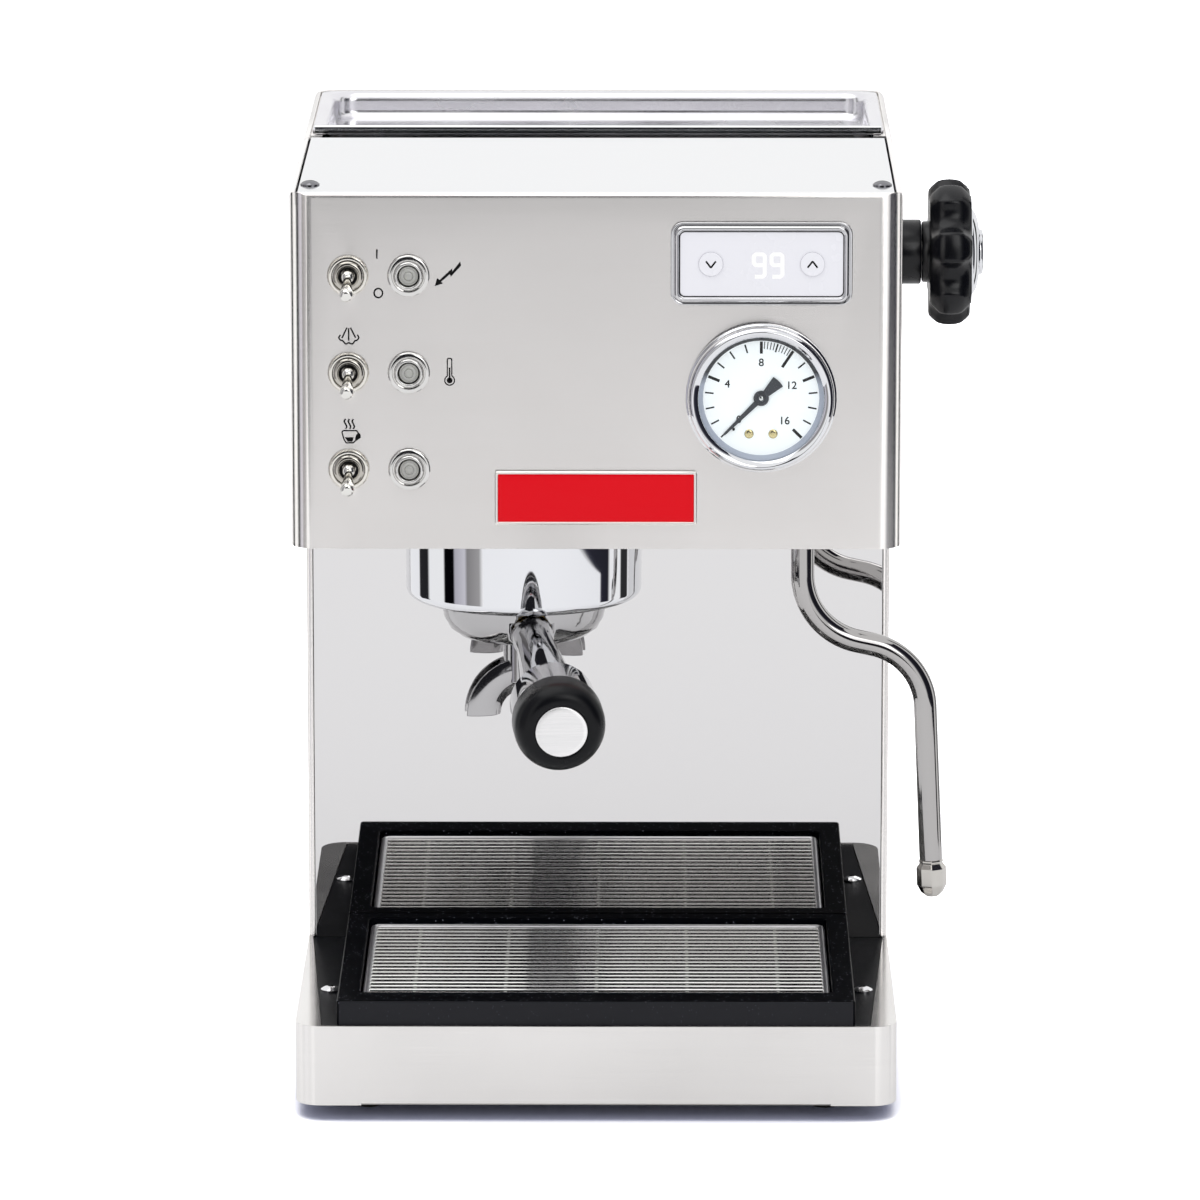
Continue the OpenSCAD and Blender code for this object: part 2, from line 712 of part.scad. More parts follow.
module portafilter_body() {
  color([0.8, 0.8, 0.82]) placed() difference() {
    union() {
      on_holder() rotate_extrude($fn = 96) polygon([
        [0, bowl_z], [20, bowl_z], [25, bowl_z + 1.2], [28.8, bowl_z + 4], [31, bowl_z + 8],
        [32, bowl_z + 13], [32.2, bell_z + 1], [bowl_r, bell_z + 4], [bowl_r, rim_z],
        [0, rim_z]]);
      on_holder() for (a = [0, 180]) rotate(a - ear_angle / 2)
        translate([0, 0, ear_z]) rotate_extrude(angle = ear_angle)
          translate([bowl_r - 1, 0]) square([groove_r - group_gap - bowl_r + 1, ear_t]);
      along_handle(24) cylinder(r = neck_r0 + 1, h = neck_start - 24);
    }
    on_holder() {
      translate([0, 0, bowl_z + 6]) cylinder(r = bowl_in, h = 60);
      translate([0, 0, bowl_z + 3.5]) cylinder(r1 = 12, r2 = bowl_in - 2, h = 2.5 + e);
      translate([0, 0, bowl_z - 1]) cylinder(r = 5, h = 10);
    }
    along_handle(29) cylinder(r = 4.1, h = 20);
  }
}

module filter_basket() {
  color("silver") placed() on_holder() difference() {
    union() {
      translate([0, 0, rim_z]) cylinder(r = bowl_r - 0.4, h = basket_rim);
      translate([0, 0, rim_z - basket_d]) cylinder(r = bowl_in - 0.3, h = basket_d + e);
    }
    translate([0, 0, rim_z - basket_d + 0.8]) cylinder(r = bowl_in - 1.1, h = basket_d + 5);
    for (r = [6, 12, 18, 24], i = [0:1:r - 1]) rotate(i * 360 / r)
      translate([r, 0, rim_z - basket_d - 1]) cylinder(r = 0.6, h = 3, $fn = 16);
  }
}

arm_r = spout_reach + 4.5;
arm_in = spout_reach - 9.3;
arm_w = 6;
arm_t = 1.6;
// Double spout: a stub under the bowl and two open channels.
module spout() {
  color([0.8, 0.8, 0.82]) placed() on_holder() difference() {
    union() {
      translate([0, 0, spout_z + arm_in + 3]) cylinder(r = 8, h = bowl_z - spout_z - arm_in - 3);
      for (s = [0, 180]) rotate(s) translate([0, 0, spout_z]) rotate([90, 0, 0])
        rotate_extrude(angle = 90) difference() {
          translate([arm_in, -arm_w]) square([arm_r - arm_in, 2 * arm_w]);
          translate([arm_in + arm_t, -arm_w + arm_t])
            square([arm_r, 2 * (arm_w - arm_t)]);
        }
    }
    translate([0, 0, spout_z + arm_in + arm_t + 2]) cylinder(r = 4.3, h = 60);
  }
}

module handle_neck() {
  color([0.8, 0.8, 0.82]) placed() {
    along_handle(neck_start) rotate_extrude() polygon([
      [0, -6], [4, -6], [4, 0], [neck_r0, 0],
      for (t = [0:0.125:1]) [neck_r0 + (neck_r1 - neck_r0) * pow(t, 1.4), neck_len * t],
      [ferrule_r - 1, neck_len], [ferrule_r, neck_len + 1],
      [ferrule_r, neck_len + ferrule_len], [4, neck_len + ferrule_len],
      [4, neck_len + ferrule_len + grip_len / 2], [0, neck_len + ferrule_len + grip_len / 2]]);
  }
}

module handle_grip() {
  color([0.12, 0.12, 0.13]) placed() along_handle(neck_start + neck_len + ferrule_len)
    rotate_extrude() polygon([
      [4.1, 0], [grip_r - 0.5, 0], [grip_r, 1], [grip_r, grip_len - 7.5],
      for (a = [10:10:80]) [grip_r - 5 + 5 * cos(a), grip_len - 7.5 + 7.5 * sin(a)],
      [disc_r + 0.1, grip_len], [disc_r + 0.1, grip_len - 1.2], [0, grip_len - 1.2],
      [0, grip_len / 2 + 0.3], [4.1, grip_len / 2 + 0.3]]);
}

module handle_disc() {
  color("silver") placed() along_handle(handle_len - 1.2) rotate_extrude()
    polygon([[0, 0], [disc_r, 0], [disc_r, 1.1], [disc_r - 0.6, 1.5], [0, 1.6]]);
}

pump_y = spigot[1];
pump_z = 52;
coil_box = [46, 44, 40];
barrel_r = 11;
barrel_x0 = -58;
barrel_x1 = 52;
outlet_r = 7;
outlet_len = 14;
module pump() {
  color([0.3, 0.3, 0.32]) placed() translate([0, pump_y, pump_z]) union() {
    translate([-coil_box[0] / 2, -coil_box[1] / 2, -coil_box[2] / 2]) cube(coil_box);
    rotate([0, 90, 0]) {
      translate([0, 0, barrel_x0]) cylinder(r = barrel_r, h = barrel_x1 - barrel_x0);
      translate([0, 0, barrel_x0 - outlet_len]) cylinder(r = outlet_r, h = outlet_len + e);
    }
  }
}

// Two rubber blocks that carry the pump's barrel on both sides of its coil.
mount_w = 13;
mount_d = 30;
module pump_mounts() {
  color([0.15, 0.15, 0.15]) placed() for (s = [-1, 1]) difference() {
    translate([s * (coil_box[0] / 2 + 9 + mount_w / 2) - mount_w / 2, pump_y - mount_d / 2,
      foot_h + sheet_t]) cube([mount_w, mount_d, pump_z - foot_h - sheet_t]);
    translate([barrel_x0, pump_y, pump_z]) rotate([0, 90, 0])
      cylinder(r = barrel_r, h = barrel_x1 - barrel_x0);
  }
}

coil_w = 24;
coil_d = 26;
coil_h = 38;
coil_out = bolt_circle + 8;
stub_r = 5;
module solenoid_valve() {
  color([0.2, 0.2, 0.22]) placed() {
    translate([group_x - coil_out - coil_w, group_y - coil_d / 2, head_top])
      cube([coil_w + e, coil_d, coil_h]);
    translate([group_x - coil_out, group_y, head_top + coil_h * 0.7]) rotate([0, 90, 0])
      cylinder(r = stub_r, h = coil_out - boiler_r - 0.1);
  }
}

module boiler() {
  color([0.75, 0.65, 0.4]) placed() translate([group_x, group_y, head_top]) difference() {
    rotate_extrude($fn = 96) polygon([[0, 0], [bolt_circle + 5, 0], [bolt_circle + 5, 6], [boiler_r, 6],
      for (a = [0:15:75]) [boiler_r - 9 + 9 * cos(a), boiler_h - 9 + 9 * sin(a)],
      [boiler_r - 9, boiler_h], [0, boiler_h]]);
    for (a = bolt_angles) rotate(a) translate([bolt_circle, 0, -1])
      cylinder(r = bolt_r + 0.2, h = 8);
  }
}

// Bolts of the boiler flange, through the box floor into the group.
module boiler_bolts() {
  color("silver") placed() translate([group_x, group_y, head_top]) for (a = bolt_angles)
    rotate(a) translate([bolt_circle, 0, 0]) {
      translate([0, 0, 6]) cylinder(r = 4, h = 3.4, $fn = 6);
      translate([0, 0, -8]) cylinder(r = bolt_r, h = 14 + e);
    }
}

neck_bore = spindle_r + 1.6;
valve_len = half_w - wand_x + 6.4;
module steam_valve() {
  color([0.75, 0.65, 0.4]) placed() sideways(steam_y, knob_z) difference() {
    union() {
      translate([0, 0, -valve_len]) cylinder(r = 10, h = valve_len - sheet_t);
      translate([0, 0, -sheet_t - e]) cylinder(r = neck_bore + 3, h = sheet_t + 2);
    }
    translate([0, 0, -valve_len + 12]) cylinder(r = spindle_r + run_gap, h = valve_len);
  }
}

module steam_spindle() {
  color("silver") placed() sideways(steam_y, knob_z)
    translate([0, 0, -valve_len + 12.4]) cylinder(r = spindle_r, h = valve_len + knob_gap + 0.6);
}

module knob_collar() {
  color([0.08, 0.08, 0.09]) placed() sideways(steam_y, knob_z) difference() {
    rotate_extrude() polygon([[0, 0], [13, 0], [13, 7.6], [11.6, 9], [0, 9]]);
    translate([0, 0, -1]) cylinder(r = neck_bore + 3.1, h = 3.2);
    translate([0, 0, -1]) cylinder(r = spindle_r + 0.3, h = 20);
  }
}

module steam_knob() {
  color([0.08, 0.08, 0.09]) placed() sideways(steam_y, knob_z) translate([0, 0, knob_gap])
    difference() {
      intersection() {
        linear_extrude(knob_t) difference() {
          circle(knob_r, $fn = 96);
          for (i = [0:knob_lobes - 1]) rotate((i + 0.5) * 360 / knob_lobes)
            translate([knob_r + 2.4, 0]) circle(7);
        }
        rotate_extrude($fn = 96) polygon([[0, 0], [knob_r - 4, 0], [knob_r - 1, 3.2],
          [knob_r, knob_t / 2], [knob_r - 1, knob_t - 3.2], [knob_r - 4, knob_t], [0, knob_t]]);
      }
      translate([0, 0, -1]) cylinder(r = spindle_r, h = 2 + knob_t - 4);
      translate([0, 0, knob_t - 1.5]) cylinder(r = cap_r + 0.1, h = 5);
    }
}

module knob_cap() {
  color("silver") placed() sideways(steam_y, knob_z)
    translate([0, 0, knob_gap + knob_t - 1.5]) rotate_extrude() polygon([
      [0, 0], [cap_r, 0], [cap_r, 2], [cap_r - 2, 3.6], [8.5, 5], [8, 6.1], [7, 6.5], [0, 6.5]]);
}

pipe_r = 3;
// Straight length of pipe from a point along a turned axis.
module run(p, turn, len) {
  translate(p) rotate(turn) cylinder(r = pipe_r, h = len);
}

// Quarter bend about a centre, in a plane set by the turn.
bend = 12;
module elbow(p, turn) {
  translate(p) rotate(turn) rotate_extrude(angle = 90) translate([bend, 0]) circle(pipe_r);
}

module pipework() {
  color([0.72, 0.45, 0.3]) placed() {
    // boiler top to the steam valve
    union() {
      run([group_x + 15, steam_y, head_top + boiler_h], [0, 0, 0],
        knob_z - bend - head_top - boiler_h);
      elbow([group_x + 15 + bend, steam_y, knob_z - bend], [90, 0, 90 + 90]);
      run([group_x + 15 + bend, steam_y, knob_z], [0, 90, 0],
        half_w - valve_len - group_x - 15 - bend);
    }
    // steam valve down to the wand joint
    run([wand_x, steam_y, socket_top], [0, 0, 0], knob_z - 10 - socket_top);
    // tank socket down to the pump inlet
    union() {
      run([spigot[0], spigot[1], pump_z + bend], [0, 0, 0], shelf_z - 14 - pump_z - bend);
      elbow([spigot[0] - bend, spigot[1], pump_z + bend], [90, 90, 0]);
      run([barrel_x1, spigot[1], pump_z], [0, 90, 0], spigot[0] - bend - barrel_x1);
    }
  }
}

socket_top = ball_z + 15;
module wand_socket() {
  color([0.75, 0.65, 0.4]) placed() translate([wand_x, steam_y, 0]) difference() {
    translate([0, 0, box_z + sheet_t]) cylinder(r = 15, h = socket_top - box_z - sheet_t);
    translate([0, 0, box_z]) cylinder(r = seat_r + run_gap, h = seat_top - box_z + 0.2);
    translate([0, 0, box_z]) cylinder(r = 2, h = 60);
  }
}

seat_r = 11.5;
seat_top = ball_z + ball_r + 0.5;
module wand_seat() {
  color("white") placed() translate([wand_x, steam_y, 0]) difference() {
    translate([0, 0, box_z + sheet_t + 0.1]) cylinder(r = seat_r, h = seat_top - box_z - sheet_t - 0.1);
    translate([0, 0, ball_z]) sphere(ball_r + 0.1);
    translate([0, 0, ball_z]) cylinder(r = ball_r - 3, h = 20);
    translate([0, 0, box_z]) cylinder(r = ball_r - 0.9, h = ball_rise);
  }
}

// The wand's tube lies in one upright plane: a drop, a bend outwards, a short
// length, a bend back down and the lower leg. Each ring of the tube is a place
// [across, up] and a heading below the outward direction.
p1 = [bend_r1 * (1 - cos(bend_a1)), -bend_r1 * sin(bend_a1)];
p2 = p1 + wand_mid * [sin(bend_a1), -cos(bend_a1)];
c2 = p2 - bend_r2 * [cos(bend_a1), sin(bend_a1)];
p3 = c2 + bend_r2 * [cos(leg_slant), sin(leg_slant)];
p4 = p3 + wand_leg * [sin(leg_slant), -cos(leg_slant)];
bend_steps = 14;
tube_sides = 24;
wand_rings = [
  [[0, ball_z - wand_drop_z], 90],
  for (i = [0:bend_steps]) let (a = bend_a1 * i / bend_steps)
    [[bend_r1 * (1 - cos(a)), -bend_r1 * sin(a)], 90 - a],
  for (i = [0:bend_steps]) let (a = bend_a1 + (leg_slant - bend_a1) * i / bend_steps)
    [c2 + bend_r2 * [cos(a), sin(a)], 90 - a],
  [p4, 90 - leg_slant]];

module wand_plane() {
  translate([wand_x, steam_y, wand_drop_z]) children();
}

module wand_tube(r) {
  n = tube_sides;
  m = len(wand_rings);
  points = [for (ring = wand_rings, k = [0:n - 1]) let (t = 360 * k / n)
    [ring[0][0] + r * cos(t) * sin(ring[1]), r * sin(t), ring[0][1] + r * cos(t) * cos(ring[1])]];
  faces = [
    [for (k = [n - 1:-1:0]) k],
    for (j = [0:m - 2], k = [0:n - 1]) let (l = (k + 1) % n)
      [j * n + k, j * n + l, (j + 1) * n + l, (j + 1) * n + k],
    [for (k = [0:n - 1]) (m - 1) * n + k]];
  wand_plane() polyhedron(points, faces, convexity = 6);
}

module steam_wand() {
  color([0.8, 0.8, 0.82]) placed() difference() {
    union() {
      wand_tube(wand_r);
      translate([wand_x, steam_y, ball_z]) sphere(ball_r);
    }
    translate([wand_x, steam_y, ball_z]) cylinder(r = 2, h = 20);
  }
}

module steam_nozzle() {
  color([0.8, 0.8, 0.82]) placed() wand_plane() translate([p3[0], 0, p3[1]])
    rotate([0, 180 - leg_slant, 0]) translate([0, 0, wand_leg]) difference() {
      rotate_extrude() polygon([[0, 0], [wand_r + 0.3, 0], [nozzle_r, nozzle_len * 0.5],
        [nozzle_r, nozzle_len * 0.7], [nozzle_r - 1.4, nozzle_len * 0.9],
        [nozzle_r - 3.2, nozzle_len], [0, nozzle_len]]);
      cylinder(r = 1.5, h = 60, center = true, $fn = 24);
    }
}

switch_box = [13.2, 28, 25.7];
bush_r = 5.15;
bush_h = 2.4;
collar_r = 3.45;
collar_h = 6;
lever_ball = 2.5;
module switch_bodies() {
  color([0.2, 0.2, 0.22]) placed() for (i = rows) facing(toggle_x, row_height(i)) difference() {
    union() {
      translate([-switch_box[0] / 2, -switch_box[1] / 2, -switch_box[2] - sheet_t - 0.1])
        cube(switch_box);
      translate([0, 0, -sheet_t - 1]) cylinder(r = bush_r, h = sheet_t + 1 + bush_h);
      cylinder(r = collar_r, h = collar_h);
    }
    cylinder(r = lever_ball + run_gap, h = collar_h + 1);
    translate([0, 0, collar_h - 1.8])
      cylinder(r1 = lever_ball + run_gap, r2 = collar_r - 0.35, h = 1.81);
  }
}

nut_h = 1.5;
face_h = 2.1;
knurl_r = 0.4;
knurls = 24;
module switch_nuts() {
  color("silver") placed() for (i = rows) facing(toggle_x, row_height(i)) difference() {
    union() {
      cylinder(r = nut_r, h = nut_h);
      for (k = [0:knurls - 1]) rotate(k * 360 / knurls) translate([nut_r - 0.1, 0, 0])
        cylinder(r = knurl_r, h = nut_h, $fn = 16);
      cylinder(r = nut_r - 1.2, h = face_h);
    }
    translate([0, 0, -1]) cylinder(r = bush_r + 0.1, h = face_h + 2);
  }
}

lever_pivot = 3;
module lever(i) {
  color("silver") placed() facing(toggle_x, row_height(i)) translate([0, 0, lever_pivot])
    rotate([lever_tilt, 0, 0]) {
      sphere(lever_ball);
      cylinder(r1 = 1.25, r2 = 1.9, h = lever_len - 2.6);
      translate([0, 0, lever_len - 2.65]) sphere(2.65);
    }
}

module lever_power() {
  lever(2);
}

module lever_steam() {
  lever(1);
}

module lever_brew() {
  lever(0);
}

module lamp_bezels() {
  color("silver") placed() for (i = rows) facing(lamp_x, row_height(i)) {
    hole_r = lens_r + 0.1;
    rotate_extrude() polygon([[hole_r, -12], [lamp_r - 2, -12], [lamp_r - 2, 0], [lamp_r, 0],
      [lamp_r, 0.8], [lamp_r - 1, 2], [lamp_r - 2.2, 1.4], [hole_r + 1.2, 1.4],
      [hole_r + 0.8, 2.2], [hole_r, 2.2]]);
  }
}

module lamp_lenses() {
  color([0.95, 0.95, 0.9]) placed() for (i = rows) facing(lamp_x, row_height(i))
    rotate_extrude() polygon([[0, -6], [lens_r, -6], [lens_r, 1.6], [lens_r - 0.6, 2.2],
      [lens_r * 0.45, 2.6], [0, 2.7]]);
}

window_w = display_w - 2 * display_rim + 0.6;
window_h = display_h - 2 * display_rim - 0.4;
module rounded_plate(w, h, r, t) {
  linear_extrude(t) translate([0, -h / 2]) plan(w, 0, h, r);
}

module display_bezel() {
  color("silver") placed() facing(panel_x, display_z) difference() {
    rounded_plate(display_w, display_h, 4.6, 2.4);
    translate([0, 0, -1]) rounded_plate(display_w - 2 * display_rim, display_h - 2 * display_rim, 2, 5);
  }
}

module display_panel() {
  color([0.95, 0.95, 0.97]) placed() facing(panel_x, display_z) difference() {
    union() {
      translate([0, 0, -3]) rounded_plate(display_w - 2 * display_rim - 0.3,
        display_h - 2 * display_rim - 0.7, 2, 4.4);
      translate([-display_w / 2 + 1, -display_h / 2 - 1, -3])
        cube([display_w - 2, display_h + 2, 3 - sheet_t]);
      for (x = [-1, 1], y = [-1, 1]) translate([x * 27, y * 12.5, -8.2]) cylinder(r = 2, h = 6);
    }
    for (s = [-1, 1]) translate([s * button_x, 0, -4]) cylinder(r = button_r + 0.15, h = 10);
  }
}

// One push button: a cap, and a foot that rests on the board's key.
module display_button(s) {
  color("white") placed() facing(panel_x + s * button_x, display_z) union() {
    translate([0, 0, -3]) cylinder(r = button_r, h = 5.2);
    translate([0, 0, -board_back + 1.6 + button_play + 0.2])
      cylinder(r = 1.6, h = board_back - 1.6 - button_play - 0.2 - 2.9);
  }
}

module button_down() {
  display_button(-1);
}

module button_up() {
  display_button(1);
}

board_back = 9.8;
module control_board() {
  color([0.1, 0.4, 0.2]) placed() facing(panel_x, display_z) union() {
    translate([-32, -15, -board_back]) cube([64, 30, 1.6]);
    translate([-12, -8, -board_back + 1.6]) cube([26, 16, 3]);
    translate([-20, -10, -board_back - 8]) cube([16, 20, 8.1]);
  }
}

case_r = gauge_win + 2.6;
glass_t = 1.4;
glass_z = 3.3;
glass_play = 0.1;
lip_z = glass_z + glass_t + glass_play + 0.4;
module gauge_case() {
  color([0.8, 0.8, 0.82]) placed() facing(panel_x, gauge_z) difference() {
    rotate_extrude($fn = 96) polygon([[0, -24], [case_r, -24], [case_r, 0], [gauge_r, 0],
      [gauge_r, 3.8], [gauge_r - 0.6, 5.5], [gauge_r - 1.7, 6.6], [gauge_win + 2, 6.8],
      [gauge_win, lip_z], [0, lip_z]]);
    // seat of the glass and dial, and the room behind the dial
    translate([0, 0, dial_z])
      cylinder(r = gauge_win + 1.4, h = glass_z + glass_t + glass_play - dial_z);
    translate([0, 0, glass_z]) cylinder(r = gauge_win, h = 10);
    difference() {
      translate([0, 0, -23]) cylinder(r = gauge_win, h = 23 + dial_z + e);
      translate([0, 0, -23.5]) cylinder(r = 8, h = 23.3 + dial_z);
    }
    translate([0, 0, -8]) cylinder(r = pin_r + run_gap, h = 10);
  }
}

dial_z = 0.8;
pin_r = 0.9;
module gauge_dial() {
  color("white") placed() facing(panel_x, gauge_z) difference() {
    translate([0, 0, dial_z]) cylinder(r = gauge_win + 1.2, h = 0.8);
    translate([0, 0, -1]) cylinder(r = pin_r + run_gap, h = 5);
  }
}

module gauge_glass() {
  color([0.9, 0.95, 1.0, 0.3]) placed() facing(panel_x, gauge_z)
    translate([0, 0, glass_z]) cylinder(r = gauge_win + 1.2, h = glass_t);
}

// Needle, drawn at zero on the scale, with its pin in the movement. Its tail
// is a fan that balances the point.
zero_turn = 135;
tail_r = 9.3;
tail_half = 16;
module gauge_needle() {
  color([0.1, 0.1, 0.1]) placed() facing(panel_x, gauge_z) rotate(zero_turn) union() {
    translate([0, 0, 2]) linear_extrude(0.5)
      polygon([[-0.8, 0], [-0.3, needle_len - 0.4], [0, needle_len], [0.3, needle_len - 0.4],
        [0.8, 0], for (a = [tail_half:-4:-tail_half]) tail_r * [sin(a), -cos(a)]]);
    translate([0, 0, 1.8]) cylinder(r = 2.9, h = 1.1);
    translate([0, 0, -7]) cylinder(r = pin_r, h = 9);
  }
}

basin_w = open_w - 2 * ledge_w + 2 * tray_t;
basin_y0 = open_y0 + ledge_w - tray_t;
basin_y1 = open_y1 - ledge_w + tray_t;
module drip_tray() {
  color([0.1, 0.1, 0.12]) placed() difference() {
    union() {
      translate([0, 0, plate_z + 0.1]) linear_extrude(tray_h - 0.1) plan(tray_w, tray_y, tray_y1, 1.5);
      translate([0, 0, basin_z]) linear_extrude(basin_d + 1) plan(basin_w, basin_y0, basin_y1, 5);
    }
    translate([0, 0, ledge_z]) linear_extrude(big) plan(open_w, open_y0, open_y1, 3);
    translate([0, 0, basin_z + tray_t]) linear_extrude(big)
      plan(basin_w - 2 * tray_t, basin_y0 + tray_t, basin_y1 - tray_t, 4);
  }
}

grille_w = open_w - 2 * grille_gap;
grille_y0 = open_y0 + grille_gap;
grille_y1 = open_y1 - grille_gap;
bars = floor((grille_y1 - grille_y0 - 2 * 3) / bar_pitch);
module drip_grille() {
  color("silver") placed() {
    translate([0, 0, ledge_z + 0.6]) linear_extrude(grille_h - 0.6) difference() {
      plan(grille_w, grille_y0, grille_y1, 2.5);
      for (i = [0:bars]) {
        y0 = grille_y0 + 3 + i * (grille_y1 - grille_y0 - 6 + bar_w) / (bars + 1);
        translate([-grille_w / 2 + 3, y0])
          square([grille_w - 6, (grille_y1 - grille_y0 - 6 + bar_w) / (bars + 1) - bar_w]);
      }
    }
    for (i = [-2:2]) translate([i * cross_pitch - 1.2, grille_y0 + 0.5, ledge_z + 0.1])
      cube([2.4, grille_y1 - grille_y0 - 1, 1]);
    for (s = [-1, 1]) translate([s * (grille_w / 2 - 2) - 1, grille_y0 + 2, ledge_z + 0.1])
      cube([2, grille_y1 - grille_y0 - 4, 0.6]);
  }
}

module badge() {
  color([0.8, 0.1, 0.1]) placed() facing(0, badge_z) difference() {
    rounded_plate(badge_w, badge_h, 1, 1.4);
    translate([0, 0, 1]) rounded_plate(badge_w - 2, badge_h - 2.6, 0.6, 3);
  }
}

base_shell();
base_plate();
bottom_cover();
feet();
column_panel();
body_casing();
front_panel();
box_floor();
top_cover();
casing_screws();
tank_shelf();
tank_lid();
water_tank();
tank_socket();
group_bell();
group_head();
boiler();
boiler_bolts();
group_gasket();
shower_screen();
shower_screw();
portafilter_body();
filter_basket();
spout();
handle_neck();
handle_grip();
handle_disc();
pump();
pump_mounts();
solenoid_valve();
steam_valve();
steam_spindle();
steam_knob();
knob_cap();
knob_collar();
pipework();
wand_socket();
wand_seat();
steam_wand();
steam_nozzle();
switch_bodies();
switch_nuts();
lever_power();
lever_steam();
lever_brew();
lamp_bezels();
lamp_lenses();
display_bezel();
display_panel();
button_down();
button_up();
control_board();
gauge_case();
gauge_dial();
gauge_glass();
gauge_needle();
drip_tray();
drip_grille();
badge();
cord_gland();
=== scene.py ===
import json
import math

import bmesh
import bpy
from mathutils import Matrix, Vector

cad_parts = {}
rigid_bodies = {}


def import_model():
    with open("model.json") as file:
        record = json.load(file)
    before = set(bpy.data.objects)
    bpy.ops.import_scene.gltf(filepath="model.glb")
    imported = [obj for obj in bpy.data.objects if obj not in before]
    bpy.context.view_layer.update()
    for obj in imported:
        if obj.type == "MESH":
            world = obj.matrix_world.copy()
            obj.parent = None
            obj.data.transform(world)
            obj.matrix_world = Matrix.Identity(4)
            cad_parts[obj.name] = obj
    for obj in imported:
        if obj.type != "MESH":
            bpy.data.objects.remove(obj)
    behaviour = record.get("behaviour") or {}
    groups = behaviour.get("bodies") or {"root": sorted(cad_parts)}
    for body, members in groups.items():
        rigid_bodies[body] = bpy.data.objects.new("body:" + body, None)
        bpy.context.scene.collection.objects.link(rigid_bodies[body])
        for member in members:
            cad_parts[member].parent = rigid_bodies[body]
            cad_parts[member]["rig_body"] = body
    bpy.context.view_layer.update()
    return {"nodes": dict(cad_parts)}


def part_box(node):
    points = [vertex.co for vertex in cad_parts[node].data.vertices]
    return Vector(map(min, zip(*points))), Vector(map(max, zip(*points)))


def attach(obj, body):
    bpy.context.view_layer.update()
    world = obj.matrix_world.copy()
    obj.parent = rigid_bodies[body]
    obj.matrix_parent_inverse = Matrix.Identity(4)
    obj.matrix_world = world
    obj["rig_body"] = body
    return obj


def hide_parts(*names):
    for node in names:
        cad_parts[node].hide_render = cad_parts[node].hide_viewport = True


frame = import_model()
nodes = frame["nodes"]
mm = 0.001


# ---- The place the machine stands in ----
# A white floor that keeps the soft shadow under the machine, an even white
# room, and bands of light and dark outside the view that the bright metal mirrors.

def linear(hex_colour):
    """Turns an sRGB hex colour into the linear colour that shaders use."""
    parts = [int(hex_colour[i:i + 2], 16) / 255 for i in (1, 3, 5)]
    return tuple(c / 12.92 if c <= 0.04045 else ((c + 0.055) / 1.055) ** 2.4 for c in parts) + (1.0,)


def add_node(tree, kind, inputs=None, **settings):
    """Adds a node with its settings; each input takes a value or another node's output."""
    node = tree.nodes.new(kind)
    for name, value in settings.items():
        setattr(node, name, value)
    for name, value in (inputs or {}).items():
        if isinstance(value, bpy.types.NodeSocket):
            tree.links.new(value, node.inputs[name])
        else:
            node.inputs[name].default_value = value
    return node


def new_finish(name):
    """An empty material and its node tree."""
    material = bpy.data.materials.new(name)
    material.use_nodes = True
    material.node_tree.nodes.clear()
    return material, material.node_tree


def spread(tree, value, low, high, first, last):
    """Maps a range of a value evenly to another range."""
    return add_node(tree, "ShaderNodeMapRange", {0: value, 1: low, 2: high, 3: first, 4: last}).outputs[0]


def stage_card(name, mesh, material):
    """Puts a sheet round or under the object, as a part of the stage."""
    mesh.materials.append(material)
    card = bpy.data.objects.new(name, mesh)
    bpy.context.scene.collection.objects.link(card)
    return card


panel_low, panel_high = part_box("front_panel")
middle_x = (panel_low.x + panel_high.x) / 2
front_y = panel_low.y

# for the eye alone the paper is whiter than white light makes it, and it
# darkens to a soft blue-grey within 3 cm of the machine's foot
contact_reach = 0.03
shadow_tone = (0.47, 0.49, 0.66, 1.0)
paper_tone = (2.3, 2.3, 2.32, 1.0)
lighting_tone = (0.84, 0.84, 0.84, 1.0)
floor_paper, tree = new_finish("white_floor_paper")
ray = add_node(tree, "ShaderNodeLightPath")
contact = add_node(tree, "ShaderNodeAmbientOcclusion", {"Distance": contact_reach}, samples=8)
openness = spread(tree, contact.outputs["AO"], 0.35, 0.8, 0.0, 1.0)
seen_paper = add_node(tree, "ShaderNodeMix", {
    "Factor": openness, 6: shadow_tone, 7: paper_tone}, data_type="RGBA")
paper = add_node(tree, "ShaderNodeMix", {
    "Factor": ray.outputs["Is Camera Ray"], 6: lighting_tone, 7: seen_paper.outputs[2]}, data_type="RGBA")
matte = add_node(tree, "ShaderNodeBsdfDiffuse", {"Color": paper.outputs[2]})
add_node(tree, "ShaderNodeOutputMaterial", {"Surface": matte.outputs[0]})
floor_reach = 6.0
floor_mesh = bpy.data.meshes.new("floor")
floor_mesh.from_pydata([(-floor_reach, -floor_reach, 0), (floor_reach, -floor_reach, 0),
                        (floor_reach, floor_reach, 0), (-floor_reach, floor_reach, 0)], [], [(0, 1, 2, 3)])
stage_card("floor", floor_mesh, floor_paper)

